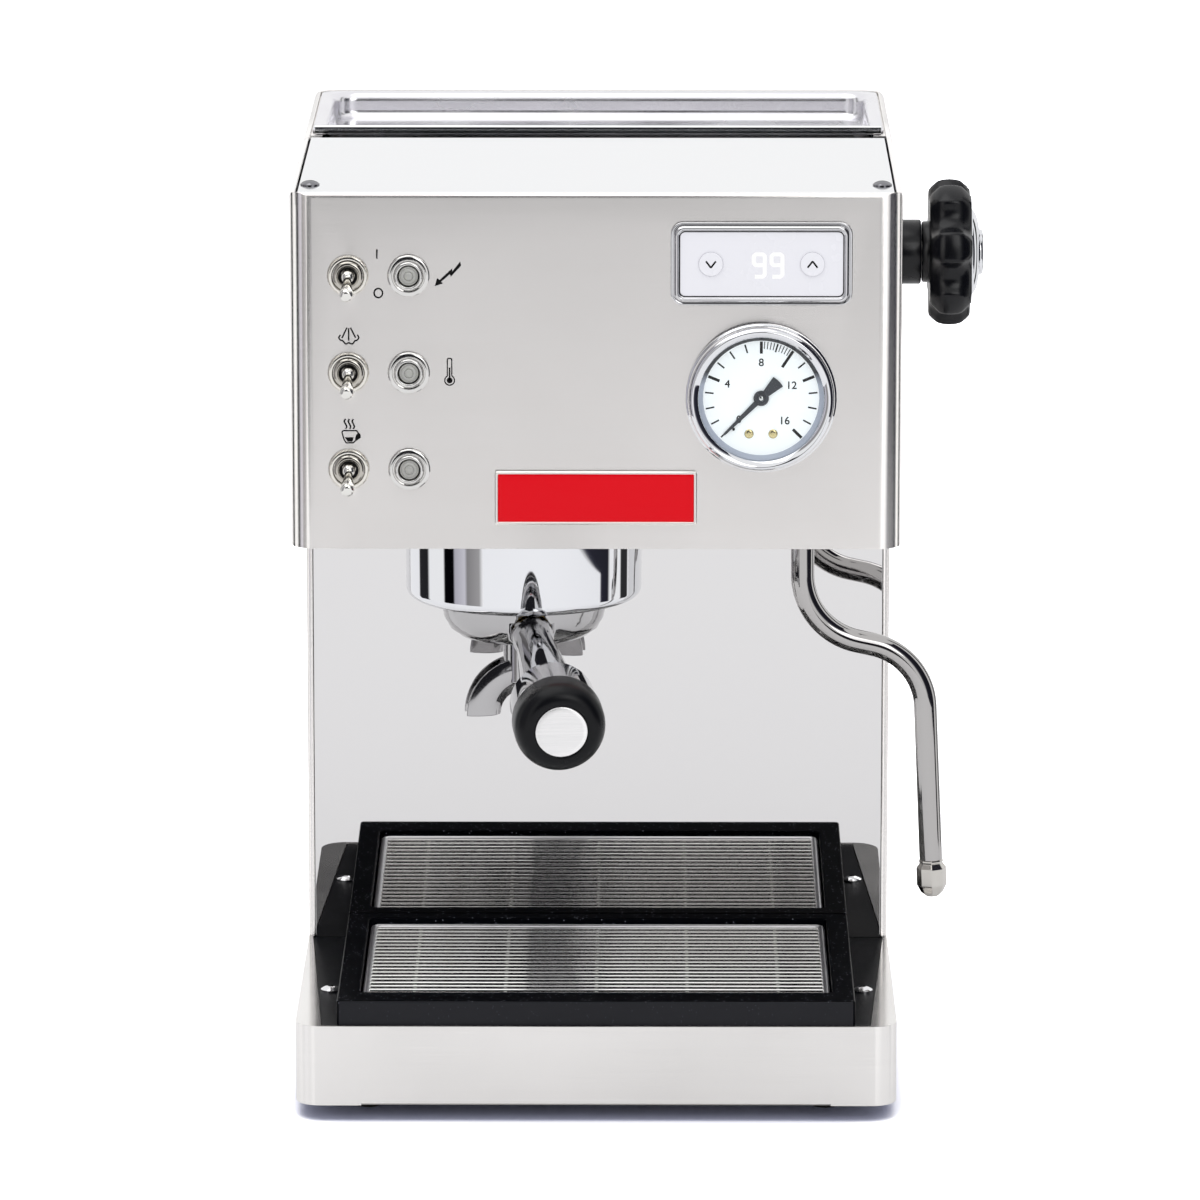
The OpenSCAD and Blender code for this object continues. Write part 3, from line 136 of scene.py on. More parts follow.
# the room round the machine as bands of light and dark: [bearing in degrees, from straight ahead
# towards the right, grey there]; the grey changes evenly from one bearing to the next
front_band = [(-28, "#28282c"), (19, "#28282c")]
left_band = [(-126, "#ffffff"), (-124, "#2a2a2c"), (-112, "#242426"), (-109, "#ffffff"), (-91, "#ffffff"),
             (-89, "#060609"), (-79, "#060609"), (-77, "#b9b7c0"), (-66, "#d4d2da"), (-63, "#8f8d8e"),
             (-50, "#a9a7a7"), (-46, "#ffffff")]
right_band = [(46, "#ffffff"), (55, "#4a4a55"), (62, "#2a2a34"), (97, "#26262e"), (100, "#ffffff"),
              (115, "#ffffff"), (117, "#303032"), (127, "#303032"), (129, "#ffffff")]
# a leaning card leans most at one bearing and no more at the other, in degrees, fully up to
# one height and not at all from the other
lean_most, lean_none = 46, 97
leaning_to, upright_from = 0.05, 0.09
# the widest gap between two upright edges of a card, in degrees
widest_gap = 4


def band_card(name, band, top, away, lean):
    """An upright card bent round the machine, in bands of grey, seen in reflections alone.

    It stands at a distance from the front panel's middle, and its foot may lean round by an angle.
    """
    stops = []
    for (first, _), (last, _) in zip(band, band[1:]):
        steps = max(int((last - first) / widest_gap), 1)
        stops += [first + (last - first) * i / steps for i in range(steps)]
    stops.append(band[-1][0])
    spots = []
    for turn in stops:
        back = lean * max((lean_none - turn) / (lean_none - lean_most), 0)
        for z, shift in ((0.0, back), (leaning_to, back), (upright_from, 0), (top, 0)):
            a = math.radians(turn + shift)
            spots.append((middle_x + away * math.sin(a), front_y - away * math.cos(a), z))
    mesh = bpy.data.meshes.new(name)
    mesh.from_pydata(spots, [], [(4 * i + k, 4 * i + k + 4, 4 * i + k + 5, 4 * i + k + 1)
                                 for i in range(len(stops) - 1) for k in range(3)])
    tone = mesh.color_attributes.new("tone", "FLOAT_COLOR", "POINT")
    for i, turn in enumerate(stops):
        below = max(k for k in range(len(band) - 1) if band[k][0] <= turn + 1e-6)
        (first, grey), (last, next_grey) = band[below], band[below + 1]
        part = (turn - first) / (last - first)
        mixed_tone = [x + (y - x) * part for x, y in zip(linear(grey), linear(next_grey))]
        for k in range(4):
            tone.data[4 * i + k].color = mixed_tone
    paper, tree = new_finish(name + "_paper")
    tones = add_node(tree, "ShaderNodeAttribute", attribute_name="tone")
    shine = add_node(tree, "ShaderNodeEmission", {"Color": tones.outputs["Color"], "Strength": 1.0})
    add_node(tree, "ShaderNodeOutputMaterial", {"Surface": shine.outputs[0]})
    card = stage_card(name, mesh, paper)
    card.visible_camera = False
    card.visible_diffuse = False
    card.visible_shadow = False


band_card("card_front", front_band, 2.4, 2.9, 0)
band_card("card_left", left_band, 0.9, 0.6, 0)
band_card("card_right", right_band, 0.9, 0.6, 40)

world = bpy.data.worlds.new("studio")
bpy.context.scene.world = world
world.use_nodes = True
tree = world.node_tree
tree.nodes.clear()
ray = add_node(tree, "ShaderNodeLightPath")
seen = add_node(tree, "ShaderNodeMath",
                {0: ray.outputs["Is Camera Ray"], 1: ray.outputs["Is Glossy Ray"]}, operation="MAXIMUM")
seen_through = add_node(tree, "ShaderNodeMath",
                        {0: seen.outputs[0], 1: ray.outputs["Is Transmission Ray"]}, operation="MAXIMUM")
room = add_node(tree, "ShaderNodeBackground", {"Color": linear("#fbfbfd"), "Strength": 1.0})
white = add_node(tree, "ShaderNodeBackground", {"Color": linear("#ffffff"), "Strength": 1.0})
mixed = add_node(tree, "ShaderNodeMixShader",
                 {0: seen_through.outputs[0], 1: room.outputs[0], 2: white.outputs[0]})
add_node(tree, "ShaderNodeOutputWorld", {"Surface": mixed.outputs[0]})


def soft_lamp(name, place, target, side, watts):
    """A square soft box that faces a target."""
    light = bpy.data.lights.new(name, "AREA")
    light.shape = "RECTANGLE"
    light.size = side
    light.size_y = side
    light.energy = watts
    lamp = bpy.data.objects.new(name, light)
    lamp.location = place
    lamp.rotation_euler = (Vector(target) - Vector(place)).to_track_quat("-Z", "Y").to_euler()
    bpy.context.scene.collection.objects.link(lamp)


soft_lamp("lamp_above", (-0.5, -0.3, 2.2), (0, 0, 0.1), 1.8, 12)
soft_lamp("lamp_front", (0.9, -2.2, 1.6), (0, 0, 0.15), 1.2, 9)

eye_aside, eye_away, eye_height = 0.017, 3.05, 0.85
look_down, look_left = 11.961, 0.29
bpy.context.scene.view_settings.view_transform = "Standard"
eye = bpy.data.cameras.new("eye")
eye.lens = 248.0
eye.sensor_width = 36.0
camera = bpy.data.objects.new("camera", eye)
camera.location = (middle_x + eye_aside, front_y - eye_away, eye_height)
camera.rotation_euler = (math.radians(90 - look_down), 0.0, math.radians(look_left))
bpy.context.scene.collection.objects.link(camera)
bpy.context.scene.camera = camera


# ---- Stainless sheet: base, casing, front panel and floor of the head ----
# Folded 304 stainless steel, 1.2 mm thick, with a fine horizontal brushing
# that was ground on before folding; the cut edges are broken by hand.

def noise(tree, scale, detail):
    """A cloudy noise in the object's own space."""
    place = add_node(tree, "ShaderNodeTexCoord")
    return add_node(tree, "ShaderNodeTexNoise",
                    {"Vector": place.outputs["Object"], "Scale": scale, "Detail": detail}).outputs[0]


def two_tones(tree, value, first, last):
    """A colour between two, by a value from 0 to 1."""
    tones = add_node(tree, "ShaderNodeValToRGB", {0: value})
    tones.color_ramp.elements[0].color = first
    tones.color_ramp.elements[1].color = last
    return tones.outputs[0]


def relief(tree, height, strength):
    """A shallow relief, at most a tenth of a millimetre deep."""
    return add_node(tree, "ShaderNodeBump",
                    {"Height": height, "Strength": strength, "Distance": 0.1 * mm}).outputs[0]


def end_in_surface(tree, inputs):
    """Ends a material in one surface with its settings."""
    surface = add_node(tree, "ShaderNodeBsdfPrincipled", inputs)
    add_node(tree, "ShaderNodeOutputMaterial", {"Surface": surface.outputs[0]})


def brushed_stainless(name, colour, streak, roughness, grain):
    """Brushed stainless: long fine scratches, dense across them, with faint cloudy patches."""
    material, tree = new_finish(name)
    place = add_node(tree, "ShaderNodeTexCoord")
    lines = add_node(tree, "ShaderNodeMapping", {"Vector": place.outputs["Object"], "Scale": grain})
    scratch = add_node(tree, "ShaderNodeTexNoise", {
        "Vector": lines.outputs[0], "Scale": 1.0, "Detail": 5.0, "Roughness": 0.65}).outputs[0]
    shade = spread(tree, scratch, 0.3, 0.7, 0.0, 1.0)
    gloss = spread(tree, noise(tree, 9.0, 3.0), 0.3, 0.7, roughness - 0.03, roughness + 0.03)
    # the scratches run level, so they spread the reflections up and down
    facet = add_node(tree, "ShaderNodeNewGeometry")
    level = add_node(tree, "ShaderNodeVectorMath",
                     {0: (0.0, 0.02, 1.0), 1: facet.outputs["Normal"]}, operation="CROSS_PRODUCT")
    end_in_surface(tree, {
        "Base Color": two_tones(tree, shade, linear(streak), linear(colour)), "Metallic": 1.0,
        "Roughness": gloss, "Anisotropic": 0.97, "Anisotropic Rotation": 0.25,
        "Tangent": level.outputs[0], "Normal": relief(tree, scratch, 0.03)})
    return material


def finish_node(name, material):
    """Gives a carried-over piece its finish."""
    mesh = nodes[name].data
    mesh.materials.clear()
    mesh.materials.append(material)


def as_mesh(shape, name):
    """Turns a shape into a mesh."""
    mesh = bpy.data.meshes.new(name)
    shape.to_mesh(mesh)
    shape.free()
    return mesh


def make_piece(name, shape, material, like, replaces=(), crease=35):
    """Puts a finished shape in the scene as a piece that moves with the node it belongs to."""
    mesh = as_mesh(shape, name)
    mesh.shade_smooth()
    mesh.set_sharp_from_angle(angle=math.radians(crease))
    mesh.materials.append(material)
    piece = bpy.data.objects.new(name, mesh)
    bpy.context.scene.collection.objects.link(piece)
    if replaces:
        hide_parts(*replaces)
    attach(piece, nodes[like]["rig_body"])
    return piece


def break_edges(piece, width, angle=40):
    """Rounds the sharp edges of a piece by a small radius."""
    edge = piece.modifiers.new("broken_edges", "BEVEL")
    edge.width = width
    edge.segments = 2
    edge.limit_method = "ANGLE"
    edge.angle_limit = math.radians(angle)
    edge.harden_normals = True


def softened(name, node, material, width):
    """A copy of a node with its cut edges broken, which stands for that node."""
    shape = bmesh.new()
    shape.from_mesh(nodes[node].data)
    bmesh.ops.remove_doubles(shape, verts=shape.verts, dist=2e-6)
    bmesh.ops.dissolve_limit(shape, angle_limit=math.radians(0.8), verts=shape.verts, edges=shape.edges)
    piece = make_piece(name, shape, material, node, (node,))
    break_edges(piece, width)
    return piece


# scratches are drawn 0.4 mm apart, coarser than the real 0.05 mm, so that they show
sheet_grain = (14, 14, 2600)
casing_steel = brushed_stainless("brushed_stainless_sheet", "#fffcfa", "#f8f5f2", 0.24, sheet_grain)
# the base is ground a little finer and reads a shade greyer
base_steel = brushed_stainless("brushed_stainless_base", "#f7f5f3", "#f1efed", 0.2, sheet_grain)
for node, steel in (("base_shell", base_steel), ("body_casing", casing_steel),
                    ("front_panel", casing_steel), ("box_floor", casing_steel)):
    softened(node + "_sheet", node, steel, 0.3 * mm)


# ---- Polished sheet: column front and top cover ----
# The same steel with a mirror polish, which shows the tray and the group.

def polished_stainless(name, colour, roughness, lean=0.0):
    """Polished stainless with the faint haze of wiping; a lean turns its reflection up or down."""
    material, tree = new_finish(name)
    gloss = spread(tree, noise(tree, 22.0, 4.0), 0.35, 0.7, roughness, roughness * 1.5)
    facet = add_node(tree, "ShaderNodeNewGeometry")
    leant = add_node(tree, "ShaderNodeVectorMath",
                     {0: facet.outputs["Normal"], 1: (0.0, 0.0, -math.radians(lean))}, operation="ADD")
    normal = add_node(tree, "ShaderNodeVectorMath", {0: leant.outputs[0]}, operation="NORMALIZE")
    end_in_surface(tree, {"Base Color": linear(colour), "Metallic": 1.0, "Roughness": gloss,
                          "Normal": normal.outputs[0]})
    return material


# the column's sheet leans by less than a degree, as a thin folded sheet does between its folds
column_mirror = polished_stainless("mirror_stainless_column", "#dcdbdb", 0.012, 0.85)
# the cover is wiped more often, and its fine scratches blur what it mirrors
cover_mirror = polished_stainless("mirror_stainless_cover", "#ebecee", 0.08)
softened("column_panel_sheet", "column_panel", column_mirror, 0.3 * mm)
softened("top_cover_sheet", "top_cover", cover_mirror, 0.3 * mm)


# ---- Lid of the water tank ----
# One pressed sheet: a flat flange that rests in the casing's opening, a wide
# pan for warming cups with soft bends, and a rolled lip along the front.

def skin(shape, rows):
    """Joins rings of points, each to the next, by a wall of faces."""
    for low, high in zip(rows, rows[1:]):
        for i in range(len(low)):
            j = (i + 1) % len(low)
            shape.faces.new((low[i], low[j], high[j], high[i]))


def ring_stack(rings, corner_steps, capped=True):
    """Joins rounded rectangles [half width, front, back, corner radius, height] into one skin.

    It is capped at both ends, or else its last rectangle meets its first one.
    """
    shape = bmesh.new()
    rows = []
    for half, front, back, radius, height in rings:
        row = []
        for cx, cy, start in ((half - radius, back - radius, 0), (radius - half, back - radius, 90),
                              (radius - half, front + radius, 180), (half - radius, front + radius, 270)):
            for step in range(corner_steps + 1):
                a = math.radians(start + 90 * step / corner_steps)
                row.append(shape.verts.new((cx + radius * math.cos(a), cy + radius * math.sin(a), height)))
        rows.append(row)
    skin(shape, rows)
    if capped:
        shape.faces.new(rows[0][::-1])
        shape.faces.new(rows[-1])
    else:
        bmesh.ops.remove_doubles(shape, verts=shape.verts, dist=1e-6)
    bmesh.ops.recalc_face_normals(shape, faces=shape.faces)
    return shape


def arc(centre_x, centre_y, radius, start, end, steps):
    """Points along an arc, its angles in degrees."""
    turns = [math.radians(start + (end - start) * i / steps) for i in range(steps + 1)]
    return [(centre_x + radius * math.cos(a), centre_y + radius * math.sin(a)) for a in turns]


lid_low, lid_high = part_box("tank_lid")
lid_top = panel_high.z
lid_half = (lid_high.x - lid_low.x) / 2
lid_middle = (lid_high.x + lid_low.x) / 2
sheet = 1.2 * mm
pan_side = 4.5 * mm
pan_front = 7.5 * mm
pan_back = 4.5 * mm
pan_floor = lid_low.z + sheet
rim_bend = 3.6 * mm
floor_bend = 3.0 * mm


def lid_ring(inset, height, wall=0.0):
    """A ring of the pan, inset from the flange's pan opening by a distance."""
    return (lid_half - pan_side - wall - inset, lid_low.y + pan_front + wall + inset,
            lid_high.y - pan_back - wall - inset, 10 * mm - wall - min(inset, 7 * mm), height)


def flange_ring(inset, height):
    """A ring of the flange's outer edge."""
    return (lid_half - inset, lid_low.y + inset, lid_high.y - inset, 6.4 * mm - inset, height)


rings = [lid_ring(floor_bend - x, lid_low.z + floor_bend + z)
         for x, z in arc(0, 0, floor_bend, 270, 360, 5)]
rings += [lid_ring(0, lid_top - sheet), flange_ring(0, lid_top - sheet), flange_ring(0, lid_top - 0.4 * mm)]
rings += [flange_ring(0.12 * mm, lid_top - 0.12 * mm), flange_ring(0.4 * mm, lid_top)]
rings += [lid_ring(-rim_bend + rim_bend * math.sin(math.radians(a)),
                   lid_top - rim_bend + rim_bend * math.cos(math.radians(a)), sheet)
          for a in (0, 18, 36, 54, 72, 90)]
rings += [lid_ring(floor_bend - x, pan_floor + floor_bend + z, sheet)
          for x, z in arc(0, 0, floor_bend, 360, 270, 5)]
shape = ring_stack(rings, 8)
shape.transform(Matrix.Translation((lid_middle, 0, 0)))
# the pan is dulled by cups, so it shows soft light and no picture
lid_steel = polished_stainless("satin_stainless_lid", "#e8e7eb", 0.2)
make_piece("tank_lid_pressing", shape, lid_steel, "tank_lid", ("tank_lid",))

# the rolled lip: a bead with a round top, closed at both ends
lip_deep = 2.0 * mm
lip_out = arc(lip_deep / 2, lid_high.z - lid_top - lip_deep / 2, lip_deep / 2, 180, 0, 10)
lip_out = [(0.0, -0.9 * mm)] + lip_out + [(lip_deep, -0.1 * mm), (lip_deep, -0.9 * mm)]
shape = bmesh.new()
ends = [[shape.verts.new((x, lid_low.y + y, lid_top + z)) for y, z in lip_out]
        for x in (lid_low.x + 1 * mm, lid_high.x - 1 * mm)]
skin(shape, ends)
shape.faces.new(ends[0])
shape.faces.new(ends[1][::-1])
bmesh.ops.recalc_face_normals(shape, faces=shape.faces)
lip = make_piece("tank_lid_rolled_lip", shape, cover_mirror, "tank_lid")
break_edges(lip, 0.25 * mm)


# ---- Plain steel under the skin: bottom sheet, tank shelf and fasteners ----
# Rolled steel left as it came from the mill, dull and a little uneven.

def mill_steel(name, colour, roughness):
    """Plain rolled or turned metal with a dull, cloudy surface."""
    material, tree = new_finish(name)
    bright = linear(colour)
    dark = tuple(c * 0.8 for c in bright[:3]) + (1.0,)
    end_in_surface(tree, {"Base Color": two_tones(tree, noise(tree, 60.0, 6.0), dark, bright),
                          "Metallic": 1.0, "Roughness": roughness})
    return material


plain_steel = mill_steel("mill_finish_steel", "#b9b8b6", 0.38)
for node in ("bottom_cover", "tank_shelf", "boiler_bolts", "shower_screw", "steam_spindle",
             "shower_screen", "filter_basket"):
    finish_node(node, plain_steel)


# ---- Black plate, feet, seals and the bushing of the mains lead ----
# The plate is steel with a black powder coat, the feet and seals are moulded
# rubber, and the bushing is black nylon.

def moulded_skin(name, colour, roughness, grain_mm, depth, shine=0.4):
    """A moulded surface with a fine leathery grain, from a spark-eroded mould."""
    material, tree = new_finish(name)
    gloss = spread(tree, noise(tree, 35.0, 5.0), 0.3, 0.7, roughness - 0.05, roughness + 0.06)
    grain = noise(tree, 1000 / grain_mm, 3.0)
    end_in_surface(tree, {"Base Color": linear(colour), "Roughness": gloss,
                          "Normal": relief(tree, grain, depth), "Specular IOR Level": shine})
    return material


def powder_coat(name, colour, fleck, roughness, shine):
    """Black powder coat: a fine orange peel, with a few pale mica flecks in it."""
    material, tree = new_finish(name)
    # flecks 0.3 mm wide, about 2 mm apart
    place = add_node(tree, "ShaderNodeTexCoord")
    cells = add_node(tree, "ShaderNodeTexVoronoi", {"Vector": place.outputs["Object"], "Scale": 560.0})
    dots = spread(tree, cells.outputs[0], 0.14, 0.08, 0.0, 1.0)
    gloss = spread(tree, noise(tree, 40.0, 4.0), 0.3, 0.7, roughness - 0.04, roughness + 0.05)
    end_in_surface(tree, {
        "Base Color": two_tones(tree, dots, linear(colour), linear(fleck)), "Roughness": gloss,
        "Normal": relief(tree, noise(tree, 1400.0, 2.0), 0.25), "Specular IOR Level": shine})
    return material


plate_coat = powder_coat("black_powder_coat_plate", "#090a0f", "#43454e", 0.36, 0.22)
black_rubber = moulded_skin("moulded_rubber", "#1c1c1e", 0.62, 0.9, 0.3)
black_nylon = moulded_skin("moulded_black_nylon", "#17181b", 0.45, 0.6, 0.3)
softened("base_plate_coated", "base_plate", plate_coat, 0.2 * mm)
for node in ("feet", "tank_socket", "group_gasket", "pump_mounts"):
    finish_node(node, black_rubber)
for node in ("cord_gland", "pump", "solenoid_valve"):
    finish_node(node, black_nylon)


# ---- Drip tray ----
# A deep-drawn steel tray with a broad folded frame, powder-coated black; a
# small step round the opening holds the grille.

tray_coat = powder_coat("black_powder_coat_tray", "#030408", "#9a9da8", 0.36, 0.03)
tray = softened("drip_tray_coated", "drip_tray", tray_coat, 0.7 * mm)
# painted light: the front face takes a lighter copy of the coat, for the light that falls on it, and it
# shines more than the frame
front_lit_coat = powder_coat("black_powder_coat_front_painted_light", "#14151b", "#30323a", 0.36, 0.25)
tray.data.materials.append(front_lit_coat)
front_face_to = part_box("drip_tray")[0].y + 2 * mm
# the faces that look forward at the tray's front take the lighter copy, painted light
for face in tray.data.polygons:
    if face.normal.y < -0.9 and face.center.y < front_face_to:
        face.material_index = 1


# ---- Grille of the drip tray ----
# Bright stainless rods welded on five cross bars, in a rim rod bent round
# them; it lies loose in the tray and lifts out.

def new_tree(name, *inputs):
    """A Geometry Nodes tree with a geometry input, named inputs and a geometry output."""
    tree = bpy.data.node_groups.new(name, "GeometryNodeTree")
    tree.interface.new_socket("Geometry", in_out="INPUT", socket_type="NodeSocketGeometry")
    for label, kind in inputs:
        tree.interface.new_socket(label, in_out="INPUT", socket_type="NodeSocket" + kind)
    tree.interface.new_socket("Geometry", in_out="OUTPUT", socket_type="NodeSocketGeometry")
    return tree, add_node(tree, "NodeGroupInput")


def end_tree(tree, geometry, material):
    """Ends a tree in real geometry with its material."""
    real = add_node(tree, "GeometryNodeRealizeInstances", {"Geometry": geometry})
    coated = add_node(tree, "GeometryNodeSetMaterial", {"Geometry": real.outputs[0], "Material": material})
    add_node(tree, "NodeGroupOutput", {0: coated.outputs[0]})


def grown(mesh, tree, **values):
    """Runs a tree on a mesh and returns what it makes as a plain mesh."""
    seed = bpy.data.objects.new("seed", mesh)
    bpy.context.scene.collection.objects.link(seed)
    modifier = seed.modifiers.new("growth", "NODES")
    modifier.node_group = tree
    for item in tree.interface.items_tree:
        if item.in_out == "INPUT" and item.name in values:
            modifier[item.identifier] = values[item.name]
    made = bpy.data.meshes.new_from_object(seed.evaluated_get(bpy.context.evaluated_depsgraph_get()))
    bpy.data.objects.remove(seed)
    return made


row_tree, start = new_tree("row_of_copies", ("Count", "Int"), ("Step", "Vector"), ("Material", "Material"))
spots = add_node(row_tree, "GeometryNodeMeshLine",
                 {"Count": start.outputs["Count"], "Offset": start.outputs["Step"]})
copies = add_node(row_tree, "GeometryNodeInstanceOnPoints",
                  {"Points": spots.outputs[0], "Instance": start.outputs["Geometry"]})
end_tree(row_tree, copies.outputs[0], start.outputs["Material"])

# bends are filleted by each point's own bend radius, kept in the attribute "bend"
tube_tree, start = new_tree("tube_on_path", ("Radius", "Float"), ("Sides", "Int"), ("Material", "Material"))
path = add_node(tube_tree, "GeometryNodeMeshToCurve", {0: start.outputs["Geometry"]})
bend = add_node(tube_tree, "GeometryNodeInputNamedAttribute", {"Name": "bend"}, data_type="FLOAT")
bent = add_node(tube_tree, "GeometryNodeFilletCurve", {
    "Curve": path.outputs[0], "Count": 20, "Radius": bend.outputs[0]}, mode="POLY")
section = add_node(tube_tree, "GeometryNodeCurvePrimitiveCircle", {
    "Resolution": start.outputs["Sides"], "Radius": start.outputs["Radius"]})
tube = add_node(tube_tree, "GeometryNodeCurveToMesh", {
    "Curve": bent.outputs[0], "Profile Curve": section.outputs[0], "Fill Caps": True})
end_tree(tube_tree, tube.outputs[0], start.outputs["Material"])


def tube_along(points, bends, radius, sides, material, closed=False):
    """A round tube along straight lines with filleted corners."""
    mesh = bpy.data.meshes.new("path")
    edges = [(i, i + 1) for i in range(len(points) - 1)]
    if closed:
        edges.append((len(points) - 1, 0))
    mesh.from_pydata(points, edges, [])
    bend = mesh.attributes.new("bend", "FLOAT", "POINT")
    for value, size in zip(bend.data, bends):
        value.value = size
    made = grown(mesh, tube_tree, Radius=radius, Sides=sides, Material=material)
    shape = bmesh.new()
    shape.from_mesh(made)
    bmesh.ops.remove_doubles(shape, verts=shape.verts, dist=1e-7)
    bmesh.ops.recalc_face_normals(shape, faces=shape.faces)
    return shape


def merged(*shapes):
    """Joins several shapes or meshes into one."""
    whole = bmesh.new()
    for shape in shapes:
        if isinstance(shape, bmesh.types.BMesh):
            shape = as_mesh(shape, "part")
        whole.from_mesh(shape)
    return whole


def block(place, width, depth, height):
    """A block with its middle at a place."""
    shape = bmesh.new()
    bmesh.ops.create_cube(shape, size=1.0)
    shape.transform(place @ Matrix.Diagonal((width, depth, height, 1)))
    return shape


def bright_chrome(name, colour, roughness):
    """Chrome plate or polished steel: almost a mirror, with the softest haze."""
    material, tree = new_finish(name)
    gloss = spread(tree, noise(tree, 45.0, 4.0), 0.35, 0.75, roughness, roughness + 0.03)
    end_in_surface(tree, {"Base Color": linear(colour), "Metallic": 1.0, "Roughness": gloss})
    return material


rod_steel = bright_chrome("electropolished_rod", "#f6f6f4", 0.06)
# the rim rod is rubbed by the tray, so it is duller than the rods
rim_steel = bright_chrome("brushed_rim_rod", "#f4f4f6", 0.3)
grille_low, grille_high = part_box("drip_grille")
rim_rod, rod = 1.4 * mm, 0.9 * mm
rod_pitch, bar_pitch, bar_count = 5.3 * mm, 35 * mm, 5
bar_width, bar_height = 1.2 * mm, 1.0 * mm
rod_z = grille_high.z - rim_rod
rim_x = (grille_high.x - grille_low.x) / 2 - rim_rod
rim_low = grille_low.y + rim_rod
rim_high = grille_high.y - rim_rod
corners = [(middle_x + side * rim_x, y, rod_z)
           for side, y in ((-1, rim_low), (1, rim_low), (1, rim_high), (-1, rim_high))]
rim = tube_along(corners, [2.5 * mm] * 4, rim_rod, 16, rod_steel, closed=True)
rod_count = int((rim_high - rim_low - rod_pitch) / rod_pitch) + 1
first_y = (rim_low + rim_high - (rod_count - 1) * rod_pitch) / 2
one_rod = tube_along([(middle_x - rim_x, first_y, rod_z), (middle_x + rim_x, first_y, rod_z)],
                     [0, 0], rod, 12, rod_steel)
rods = grown(as_mesh(one_rod, "rod"), row_tree, Count=rod_count, Step=(0, rod_pitch, 0), Material=rod_steel)
bar_place = Matrix.Translation((middle_x - (bar_count - 1) / 2 * bar_pitch, (rim_low + rim_high) / 2,
                                grille_low.z + bar_height / 2))
one_bar = block(bar_place, bar_width, rim_high - rim_low, bar_height)
bars = grown(as_mesh(one_bar, "bar"), row_tree, Count=bar_count, Step=(bar_pitch, 0, 0), Material=rod_steel)
make_piece("drip_grille_rods", merged(rods, bars), rod_steel, "drip_grille", ("drip_grille",))
make_piece("drip_grille_rim", rim, rim_steel, "drip_grille")


# ---- Group and its bell ----
# The head is machined brass; the bell round it is spun brass with bright
# chrome, open at the bottom, with its edge rolled inwards.

def spun(profile, place, sides=96):
    """Spins a closed profile of [radius, height] in millimetres round its axis, as a lathe does."""
    shape = bmesh.new()
    points = [shape.verts.new((radius * mm, 0.0, height * mm)) for radius, height in profile]
    edges = [shape.edges.new(pair) for pair in zip(points, points[1:])]
    if profile[0][0] > 0 or profile[-1][0] > 0:
        edges.append(shape.edges.new((points[-1], points[0])))
    bmesh.ops.spin(shape, geom=points + edges, cent=(0, 0, 0), axis=(0, 0, 1),
                   angle=math.tau, steps=sides, use_duplicate=False)
    bmesh.ops.remove_doubles(shape, verts=shape.verts, dist=1e-6)
    bmesh.ops.dissolve_degenerate(shape, edges=shape.edges, dist=1e-7)
    bmesh.ops.recalc_face_normals(shape, faces=shape.faces)
    shape.transform(place)
    return shape


brass = mill_steel("machined_brass", "#c9a860", 0.24)
for node in ("group_head", "boiler", "steam_valve", "wand_socket"):
    finish_node(node, brass)

chrome = bright_chrome("bright_chrome_plate", "#e4e5e8", 0.02)
bell_low, bell_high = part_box("group_bell")
bell_r = (bell_high.x - bell_low.x) / 2 / mm
bell_tall = (bell_high.z - bell_low.z) / mm
group_x, group_y = (bell_low.x + bell_high.x) / 2, (bell_low.y + bell_high.y) / 2
group_place = Matrix.Translation((group_x, group_y, bell_low.z))
bell_profile = [(bell_r, bell_tall), (bell_r, 4.0)] + arc(bell_r - 4.0, 4.0, 4.0, 350, 270, 8)
bell_profile += [(36.6, 0.0), (36.1, 0.4), (36.0, 1.1), (36.3, 2.2), (bell_r - 5.0, 2.2)]
bell_profile += [(bell_r - 2.2, 4.6), (bell_r - 2.2, bell_tall)]
make_piece("group_bell_spun", spun(bell_profile, group_place, 128), chrome,
           "group_bell", ("group_bell",), crease=50)


# ---- Filter holder, basket side and spouts ----
# Forged brass, chromed: the bowl with its two ears, and below it a double
# spout, an open channel bent in a half circle on a short stub.

# the plating of the forged parts keeps a little of the casting's satin
bowl_chrome = bright_chrome("satin_chrome_bowl", "#b4b3b4", 0.09)
softened("portafilter_bowl", "portafilter_body", bowl_chrome, 0.5 * mm)

disc_low, disc_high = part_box("handle_disc")
disc_middle = (disc_low + disc_high) / 2
handle_heading = Vector((disc_middle.x - group_x, disc_middle.y - group_y, 0)).normalized()
spout_low, spout_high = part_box("spout")
spout_place = Matrix.Translation((group_x, group_y, spout_low.z))
spout_place = spout_place @ Matrix.Rotation(math.atan2(handle_heading.x, -handle_heading.y), 4, "Z")
# half of the channel's section outside and inside: [distance from the bend's middle, half width]
outside = [(22.8, 5.0), (20.8, 5.7), (18.2, 6.0), (15.6, 5.9), (13.0, 5.2), (11.0, 4.0), (9.6, 2.3),
           (9.0, 0.0)]
inside = [(10.5, 0.0), (10.9, 1.6), (12.0, 2.9), (13.6, 3.8), (15.8, 4.4), (18.2, 4.5), (20.6, 4.2),
          (22.8, 3.6)]
section = outside + [(r, -w) for r, w in outside[-2::-1]] + [(r, -w) for r, w in inside[::-1]] + inside[1:]
spout_steps = 36
spout_shape = bmesh.new()
rows = []
for step in range(spout_steps + 1):
    a = math.pi * step / spout_steps
    rows.append([spout_shape.verts.new((r * math.cos(a) * mm, w * mm, r * math.sin(a) * mm))
                 for r, w in section])
skin(spout_shape, rows)
spout_shape.faces.new(rows[0])
spout_shape.faces.new(rows[-1][::-1])
bmesh.ops.recalc_face_normals(spout_shape, faces=spout_shape.faces)
spout_shape.transform(spout_place)
spout_tall = (spout_high.z - spout_low.z) / mm
stub = spun([(0, 12.5), (7.4, 12.5), (8, 13.2), (8, spout_tall), (0, spout_tall)], spout_place)
